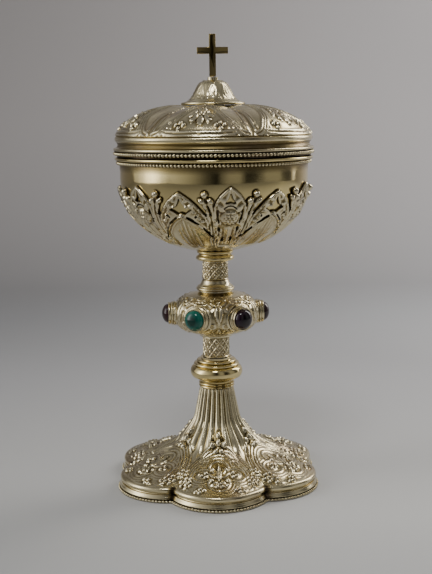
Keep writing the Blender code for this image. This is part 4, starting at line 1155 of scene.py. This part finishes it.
def build_finial(finish):
    """Make the engraved bell on the lid, with its rounded flange and the cross's peg."""
    low, _ = levels("finial")
    bell = [(17.6, 1.5), (14.3, 3.0), (12.1, 5.5), (10.8, 8.1), (9.7, 10.1), (8.2, 12.3), (6.7, 13.4), (5.0, 13.9)]
    bell = spaced(curve(bell, 8), 0.4)
    flange = [(0.0, 0.0), (17.8, 0.0)] + arc((17.85, 0.75), 0.7, -80.0, 80.0, 7)
    outline = flange + [tuple(point) for point in bell] + [(3.0, 14.0), (3.0, 15.5), (0.0, 15.5)]
    mesh = spun("finial", [(radius, low + level) for radius, level in outline], 180)
    rows = stored(mesh, "row")
    radius, azimuth, height = polar(points_of(mesh))
    on_bell = (rows >= len(flange)) & (rows < len(flange) + len(bell)) & (radius > 6.0)
    angle = np.abs(folded(azimuth, PETALS))
    lift = np.where(on_bell, bell_relief(angle * DEGREE * BELL_RADIUS, height - low - 2.2) - BELL_SINK, 0.0)
    radius, height = pushed(radius, height, rows, len(flange), outline_normals(bell), lift)
    set_points(mesh, placed(radius, azimuth, height))
    store_recess(mesh, lift, 0.7)
    return finished("finial_engraved", mesh, finish, ["finial"])


def build_cross(finish):
    """Make the plain cross from its CAD piece, with its edges eased."""
    bm = bmesh.new()
    bm.from_mesh(frame["nodes"]["cross"].data)
    bmesh.ops.remove_doubles(bm, verts=bm.verts[:], dist=WELD * MM)
    bmesh.ops.dissolve_limit(bm, angle_limit=0.01, verts=bm.verts[:], edges=bm.edges[:])
    bmesh.ops.bevel(
        bm, geom=bm.edges[:], offset=0.3 * MM, segments=2, profile=0.5, affect="EDGES", material=-1, clamp_overlap=True
    )
    mesh = meshed("cross", bm)
    for layer in list(mesh.attributes):
        if layer.name.startswith("UV"):
            mesh.attributes.remove(layer)
    store_recess(mesh, np.zeros(len(mesh.vertices)), 1.0)
    return finished("cross_plain", mesh, finish, ["cross"], 30.0)


# In millimetres: how wide a cloud of tarnish is, and how deep the grain of the metal looks
CLOUD_SIZE, GRAIN_DEPTH = 22.0, 0.2


def gilt(name, settings):
    """Make a silver-gilt finish: patina in the recesses, worn on the crests, finely scratched, with the painted shade
    and painted highlights that some pieces carry in their recess values.
    """
    result, tree, shader = new_material(name)
    shader.inputs["Metallic"].default_value = 1.0
    colours = bpy.context.scene.ciborium_colours
    recess = add_node(tree, "ShaderNodeAttribute", {"attribute_name": "recess"}).outputs["Fac"]
    ramp = add_node(tree, "ShaderNodeValToRGB", links={"Fac": recess})
    base = getattr(colours, settings["base"])
    set_stops(ramp, [(0.3, colours.gilt_high), (0.5, base), (0.7, colours.gilt_shade), (0.95, colours.recess)])
    coordinates = add_node(tree, "ShaderNodeTexCoord")
    cloud = ranged(tree, noise(tree, coordinates, CLOUD_SIZE, 4.0), 0.52, 0.72, high=settings["tarnish"])
    stained = mixed(tree, cloud, ramp.outputs["Color"], (*colours.tarnish, 1.0))
    tree.links.new(stained, shader.inputs["Base Color"])
    grain = {"Height": noise(tree, coordinates, settings["grain_size"], 3.0)}
    bump = add_node(tree, "ShaderNodeBump", {"Strength": settings["grain"], "Distance": GRAIN_DEPTH * MM}, grain)
    tree.links.new(bump.outputs["Normal"], shader.inputs["Normal"])
    dull = ranged(tree, recess, 0.5, 1.0, settings["roughness"], 0.5)
    tree.links.new(dull, shader.inputs["Roughness"])
    return result


def stone(name, code):
    """Make a polished cabochon's finish: opaque behind, with painted shade in the middle and painted light where its
    edge is thin.
    """
    result, tree, shader = new_material(name)
    edge = add_node(tree, "ShaderNodeAttribute", {"attribute_name": "recess"})
    ramp = add_node(tree, "ShaderNodeValToRGB", links={"Fac": edge.outputs["Fac"]})
    set_stops(ramp, [(0.35, [0.3 * share for share in code]), (1.0, [1.6 * share for share in code])])
    tree.links.new(ramp.outputs["Color"], shader.inputs["Base Color"])
    shader.inputs["Roughness"].default_value = 0.05
    return result


# The paper's greys from the front edge to where it starts to rise, as shares of that way: painted light, brightest in
# a band round the cup and darker towards the front and the bend
PAPER_PAINTED_LIGHT_GREYS = (
    (0.0, "#86878a"), (0.4, "#949598"), (0.57, "#b4b4b4"), (0.65, "#cdcdcb"), (0.79, "#b7b7b9"), (1.0, "#838486"),
)
PAPER_WALL = "#a4a09f"

# In metres: where the paper starts and bends, the bend's radius, and its length and width
PAPER_FRONT, PAPER_BEND, PAPER_RADIUS, PAPER_LENGTH, PAPER_WIDTH = -1.5, 0.7, 0.5, 3.6, 4.4


def paper(name):
    """Make matt backdrop paper with painted light in its grey: graded from front to back, a little brighter to the
    right, and blended into the wall's grey where it rises.
    """
    result, tree, shader = new_material(name)
    coordinates = add_node(tree, "ShaderNodeTexCoord")
    parts = add_node(tree, "ShaderNodeSeparateXYZ", links={"Vector": coordinates.outputs["Object"]})
    way = ranged(tree, parts.outputs["Y"], PAPER_FRONT, PAPER_BEND)
    ramp = add_node(tree, "ShaderNodeValToRGB", links={"Fac": way})
    set_stops(ramp, [(position, linear(code)) for position, code in PAPER_PAINTED_LIGHT_GREYS])
    # Painted light: the floor grows brighter from left to right
    lean = ranged(tree, parts.outputs["X"], -0.2, 0.2, 0.84, 1.09)
    floor = mixed(tree, 1.0, ramp.outputs["Color"], lean, "MULTIPLY")
    rise = ranged(tree, parts.outputs["Y"], 0.5, 1.1)
    grey = mixed(tree, rise, floor, (*linear(PAPER_WALL), 1.0))
    tree.links.new(grey, shader.inputs["Base Color"])
    shader.inputs["Roughness"].default_value = 0.9
    return result


def build_sweep():
    """Make the floor that curves up into the backdrop."""
    bm = bmesh.new()
    bmesh.ops.create_grid(bm, x_segments=4, y_segments=90, size=1.0)
    bend, radius = PAPER_BEND, PAPER_RADIUS
    quarter = radius * math.pi / 2.0
    for vert in bm.verts:
        along = (vert.co.y + 1.0) / 2.0 * PAPER_LENGTH + PAPER_FRONT
        vert.co.x *= PAPER_WIDTH / 2.0
        angle = min(max((along - bend) / radius, 0.0), math.pi / 2.0)
        above = max(along - bend - quarter, 0.0)
        vert.co.y = min(along, bend) + radius * math.sin(angle)
        vert.co.z = radius * (1.0 - math.cos(angle)) + above
    mesh = bpy.data.meshes.new("sweep")
    bm.to_mesh(mesh)
    bm.free()
    mesh.shade_smooth()
    mesh.materials.append(paper("graded_backdrop_paper"))
    linked("sweep", mesh)


def area_light(name, azimuth, elevation, distance, width, height, power, code, target=None):
    """Hang a soft light that looks at the cup, or at a target, and that the camera doesn't see."""
    data = bpy.data.lights.new(name, "AREA")
    data.shape = "RECTANGLE"
    data.size = width
    data.size_y = height
    data.energy = power
    data.color = linear(code)
    lamp = linked(name, data)
    turn, rise = math.radians(azimuth), math.radians(elevation)
    aim = Vector((0.0, 0.0, 0.13))
    out = Vector((math.sin(turn) * math.cos(rise), -math.cos(turn) * math.cos(rise), math.sin(rise)))
    lamp.location = aim + distance * out
    gaze = Vector(target) - lamp.location if target else -out
    lamp.rotation_euler = gaze.to_track_quat("-Z", "Y").to_euler()
    lamp.visible_camera = False


# The studio round the cup: angle from the camera growing to the right, and brightness of what stands there.
# Over it hangs a ceiling of its own brightness, and the ramp's colours are shares of a peak
STUDIO = (
    (-180.0, 0.54), (-120.0, 0.567), (-106.0, 0.81), (-95.0, 1.76), (-87.0, 3.51), (-80.0, 4.59), (-74.0, 3.51),
    (-66.0, 1.62), (-56.0, 0.837), (-42.0, 0.54), (-30.0, 0.365), (-12.0, 0.11), (-2.0, 0.03), (3.0, 0.014),
    (9.0, 0.16), (17.0, 0.297), (29.0, 0.297), (34.0, 0.135), (38.0, 0.03), (49.0, 0.03), (58.0, 0.149), (64.0, 0.324),
    (84.0, 0.311), (90.0, 0.108), (98.0, 0.0675), (105.0, 0.108), (110.0, 1.22), (117.0, 2.56), (124.0, 2.43),
    (134.0, 1.28), (150.0, 0.81), (180.0, 0.54),
)
STUDIO_PEAK, CEILING = 5.0, (0.24, 0.24, 0.25)


def build_world():
    """Make the studio that the metal reflects: windows, dark room and pale ceiling by direction."""
    world = bpy.data.worlds.new("studio")
    world.use_nodes = True
    bpy.context.scene.world = world
    tree = world.node_tree
    back = tree.nodes["Background"]
    coordinates = add_node(tree, "ShaderNodeTexCoord")
    parts = add_node(tree, "ShaderNodeSeparateXYZ", links={"Vector": coordinates.outputs["Generated"]})
    away = add_node(tree, "ShaderNodeMath", {"operation": "MULTIPLY", 1: -1.0}, {0: parts.outputs["Y"]})
    angle = add_node(tree, "ShaderNodeMath", {"operation": "ARCTAN2"}, {0: parts.outputs["X"], 1: away.outputs[0]})
    ramp = add_node(tree, "ShaderNodeValToRGB", links={"Fac": ranged(tree, angle.outputs[0], -math.pi, math.pi)})
    greys = [[bright / STUDIO_PEAK * tint for tint in (1.0, 0.99, 0.97)] for _, bright in STUDIO]
    set_stops(ramp, [((azimuth + 180.0) / 360.0, grey) for (azimuth, _), grey in zip(STUDIO, greys)])
    high = ranged(tree, parts.outputs["Z"], 0.45, 0.9, easing="SMOOTHSTEP")
    low = ranged(tree, parts.outputs["Z"], -0.02, -0.2, 1.0, 0.12, "SMOOTHSTEP")
    ceiling = mixed(tree, high, ramp.outputs["Color"], [*(bright / STUDIO_PEAK for bright in CEILING), 1.0])
    floor = mixed(tree, 1.0, ceiling, low, "MULTIPLY")
    # The camera sees a plain grey past the paper's edges
    path = add_node(tree, "ShaderNodeLightPath")
    seen = mixed(tree, path.outputs["Is Camera Ray"], floor, (0.07, 0.07, 0.07, 1.0))
    tree.links.new(seen, back.inputs["Color"])
    back.inputs["Strength"].default_value = STUDIO_PEAK


# The soft lights: name, angle from the front growing to the right, elevation, distance, width, height, watts,
# colour and, where it isn't the cup, the point it looks at
LAMPS = (
    ("right_strip", 125.0, 34.0, 0.9, 0.22, 0.8, 3.6, "#fffaf2"),
    ("top_softbox", -12.0, 60.0, 1.0, 0.25, 0.25, 2.6, "#ffffff"),
    ("backdrop_wash", 115.0, 40.0, 1.0, 0.5, 0.5, 11.0, "#ffffff", (0.9, 1.1, 0.6)),
)


# The camera's lens and sensor and its place in millimetres, then its turns: about the upright axis and up from
# straight down in degrees, and about its own line of sight in radians
CAMERA_LENS, CAMERA_SENSOR, CAMERA_PLACE = 64.7, 36.0, (-10.2, -602.6, 217.4)
CAMERA_PAN, CAMERA_TILT, CAMERA_ROLL = -1.0, 80.455, -0.013


def build_camera():
    """Set the camera where the photograph was taken from."""
    data = bpy.data.cameras.new("camera")
    data.lens = CAMERA_LENS
    data.sensor_width = CAMERA_SENSOR
    camera = linked("camera", data)
    camera.location = [place * MM for place in CAMERA_PLACE]
    turn = Matrix.Rotation(math.radians(CAMERA_PAN), 4, "Z") @ Matrix.Rotation(math.radians(CAMERA_TILT), 4, "X")
    camera.rotation_euler = (turn @ Matrix.Rotation(CAMERA_ROLL, 4, "Z")).to_euler()
    bpy.context.scene.camera = camera


# Hammered and chased sheet silver, gilt: a matt grain, patina in the tooling, pale where the crests are worn.
# Real tooling is finer than 0.1 mm; the grain is drawn at 0.4 mm so that it shows
CHASED = {"base": "gilt", "grain_size": 0.4, "grain": 0.25, "roughness": 0.17, "tarnish": 0.5}

# Cast silver, gilt: a softer grain, with dark seams, on the leaf work, collets and beaded wires; on the beads and the
# leaf work the dark seams are painted shade
CAST = {"base": "gilt", "grain_size": 0.4, "grain": 0.2, "roughness": 0.17, "tarnish": 0.5}

# Spun and polished silver, gilt: mirror-like with faint wiping marks about a millimetre wide
POLISHED = {"base": "gilt_rich", "grain_size": 1.1, "grain": 0.03, "roughness": 0.1, "tarnish": 0.4}

# Burnished silver gilt for the cross, in the shaded gilt: painted shade for the dark room that it mirrors
BURNISHED_PAINTED_DARK = {"base": "gilt_shade", "grain_size": 1.1, "grain": 0.03, "roughness": 0.04, "tarnish": 0.2}

METALS = {
    "chased_silver_gilt": CHASED,
    "cast_silver_gilt": CAST,
    "polished_silver_gilt": POLISHED,
    "burnished_silver_gilt": BURNISHED_PAINTED_DARK,
}

# The kind of each stone in turn round the knop
STONES = ("purple", "red", "red", "red", "red", "green")


def metal(name):
    """Give one of the silver-gilt finishes, made when it is first asked for."""
    return bpy.data.materials.get(name) or gilt(name, METALS[name])


def cabochon(kind):
    """Give a stone's polished finish in its colour."""
    name = kind + "_cabochon"
    return bpy.data.materials.get(name) or stone(name, getattr(bpy.context.scene.ciborium_colours, kind))


class CIBORIUM_OT_finishes(Operator):
    """Give the CAD pieces their finishes"""

    bl_idname = "ciborium.finishes"
    bl_label = "Finishes of the CAD pieces"

    def execute(self, context):
        for name, node in frame["nodes"].items():
            if name.startswith("cabochon"):
                finish = cabochon(STONES[int(name[-1]) - 1])
            elif name in ("foot", "lid", "knop", "lower_stem", "upper_stem", "finial"):
                finish = metal("chased_silver_gilt")
            elif name in ("bowl", "lower_collar", "upper_collar"):
                finish = metal("polished_silver_gilt")
            elif name == "cross":
                finish = metal("burnished_silver_gilt")
            else:
                finish = metal("cast_silver_gilt")
            node.data.materials.clear()
            node.data.materials.append(finish)
        return {"FINISHED"}


class CIBORIUM_OT_foot(Operator):
    """Build the hollow lobed foot with its chased lobes, flutes and moulded rim"""

    bl_idname = "ciborium.foot"
    bl_label = "Foot"

    def execute(self, context):
        build_foot(in_mm(), metal("chased_silver_gilt"))
        return {"FINISHED"}


class CIBORIUM_OT_stem(Operator):
    """Build the turned collars and the engraved tubes of the stem"""

    bl_idname = "ciborium.stem"
    bl_label = "Stem and collars"

    def execute(self, context):
        build_stem(metal("chased_silver_gilt"), metal("polished_silver_gilt"))
        return {"FINISHED"}


class CIBORIUM_OT_knop(Operator):
    """Build the chased knop with a seat cut for each setting"""

    bl_idname = "ciborium.knop"
    bl_label = "Knop"

    def execute(self, context):
        build_knop(in_mm(), metal("chased_silver_gilt"))
        return {"FINISHED"}


class CIBORIUM_OT_settings(Operator):
    """Build the six stepped collets that hold the stones"""

    bl_idname = "ciborium.settings"
    bl_label = "Settings"

    def execute(self, context):
        build_settings(in_mm(), metal("cast_silver_gilt"))
        return {"FINISHED"}


class CIBORIUM_OT_stones(Operator):
    """Build the six domed cabochons"""

    bl_idname = "ciborium.stones"
    bl_label = "Stones"

    def execute(self, context):
        build_stones(in_mm())
        return {"FINISHED"}


class CIBORIUM_OT_bowl(Operator):
    """Build the hollow polished bowl with its moulded lip"""

    bl_idname = "ciborium.bowl"
    bl_label = "Bowl"

    def execute(self, context):
        build_bowl(in_mm(), metal("polished_silver_gilt"))
        return {"FINISHED"}


class CIBORIUM_OT_calyx(Operator):
    """Build the pierced leaf work that stands off the bowl"""

    bl_idname = "ciborium.calyx"
    bl_label = "Pierced leaf work"

    def execute(self, context):
        build_calyx(in_mm(), metal("cast_silver_gilt"))
        return {"FINISHED"}


class CIBORIUM_OT_lid(Operator):
    """Build the hollow lobed lid with its chased dome, mouldings and bezel"""

    bl_idname = "ciborium.lid"
    bl_label = "Lid"

    def execute(self, context):
        build_lid(in_mm(), metal("chased_silver_gilt"))
        return {"FINISHED"}


class CIBORIUM_OT_beads(Operator):
    """Build the beaded wires round the lid, the bowl and the foot"""

    bl_idname = "ciborium.beads"
    bl_label = "Beaded wires"

    def execute(self, context):
        size, finish = in_mm(), metal("cast_silver_gilt")
        build_round_beads("lid_bead_wire", size, finish)
        build_round_beads("bowl_bead_wire", size, finish)
        build_foot_beads(size, finish)
        return {"FINISHED"}


class CIBORIUM_OT_finial(Operator):
    """Build the engraved bell on the lid"""

    bl_idname = "ciborium.finial"
    bl_label = "Finial"

    def execute(self, context):
        build_finial(metal("chased_silver_gilt"))
        return {"FINISHED"}


class CIBORIUM_OT_cross(Operator):
    """Build the plain cross with eased edges"""

    bl_idname = "ciborium.cross"
    bl_label = "Cross"

    def execute(self, context):
        build_cross(metal("burnished_silver_gilt"))
        return {"FINISHED"}


class CIBORIUM_OT_stage(Operator):
    """Build the paper sweep, the studio's light and the camera"""

    bl_idname = "ciborium.stage"
    bl_label = "Studio and camera"

    def execute(self, context):
        build_sweep()
        build_world()
        for lamp in LAMPS:
            area_light(*lamp)
        build_camera()
        return {"FINISHED"}


BUILDERS = (
    CIBORIUM_OT_finishes,
    CIBORIUM_OT_foot,
    CIBORIUM_OT_stem,
    CIBORIUM_OT_knop,
    CIBORIUM_OT_settings,
    CIBORIUM_OT_stones,
    CIBORIUM_OT_bowl,
    CIBORIUM_OT_calyx,
    CIBORIUM_OT_lid,
    CIBORIUM_OT_beads,
    CIBORIUM_OT_finial,
    CIBORIUM_OT_cross,
    CIBORIUM_OT_stage,
)


class CIBORIUM_PT_panel(Panel):
    """List the ciborium's pieces, sizes and colours"""

    bl_label = "Ciborium"
    bl_idname = "CIBORIUM_PT_panel"
    bl_space_type = "VIEW_3D"
    bl_region_type = "UI"
    bl_category = "Ciborium"

    def draw(self, context):
        column = self.layout.column(align=True)
        for builder in BUILDERS:
            column.operator(builder.bl_idname)
        for group in (context.scene.ciborium_sizes, context.scene.ciborium_colours):
            box = self.layout.box()
            for name in group.__annotations__:
                box.prop(group, name)


CLASSES = (CiboriumSizes, CiboriumColours, *BUILDERS, CIBORIUM_PT_panel)


def register():
    """Register the classes and hang the sizes and colours on the scene."""
    for item in CLASSES:
        bpy.utils.register_class(item)
    bpy.types.Scene.ciborium_sizes = PointerProperty(type=CiboriumSizes)
    bpy.types.Scene.ciborium_colours = PointerProperty(type=CiboriumColours)


def unregister():
    """Take the sizes, the colours and the classes away again."""
    del bpy.types.Scene.ciborium_colours
    del bpy.types.Scene.ciborium_sizes
    for item in reversed(CLASSES):
        bpy.utils.unregister_class(item)


def main():
    """Build every piece and the stage."""
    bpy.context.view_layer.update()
    register()
    for builder in BUILDERS:
        group, name = builder.bl_idname.split(".")
        getattr(getattr(bpy.ops, group), name)()


if __name__ == "__main__":
    main()
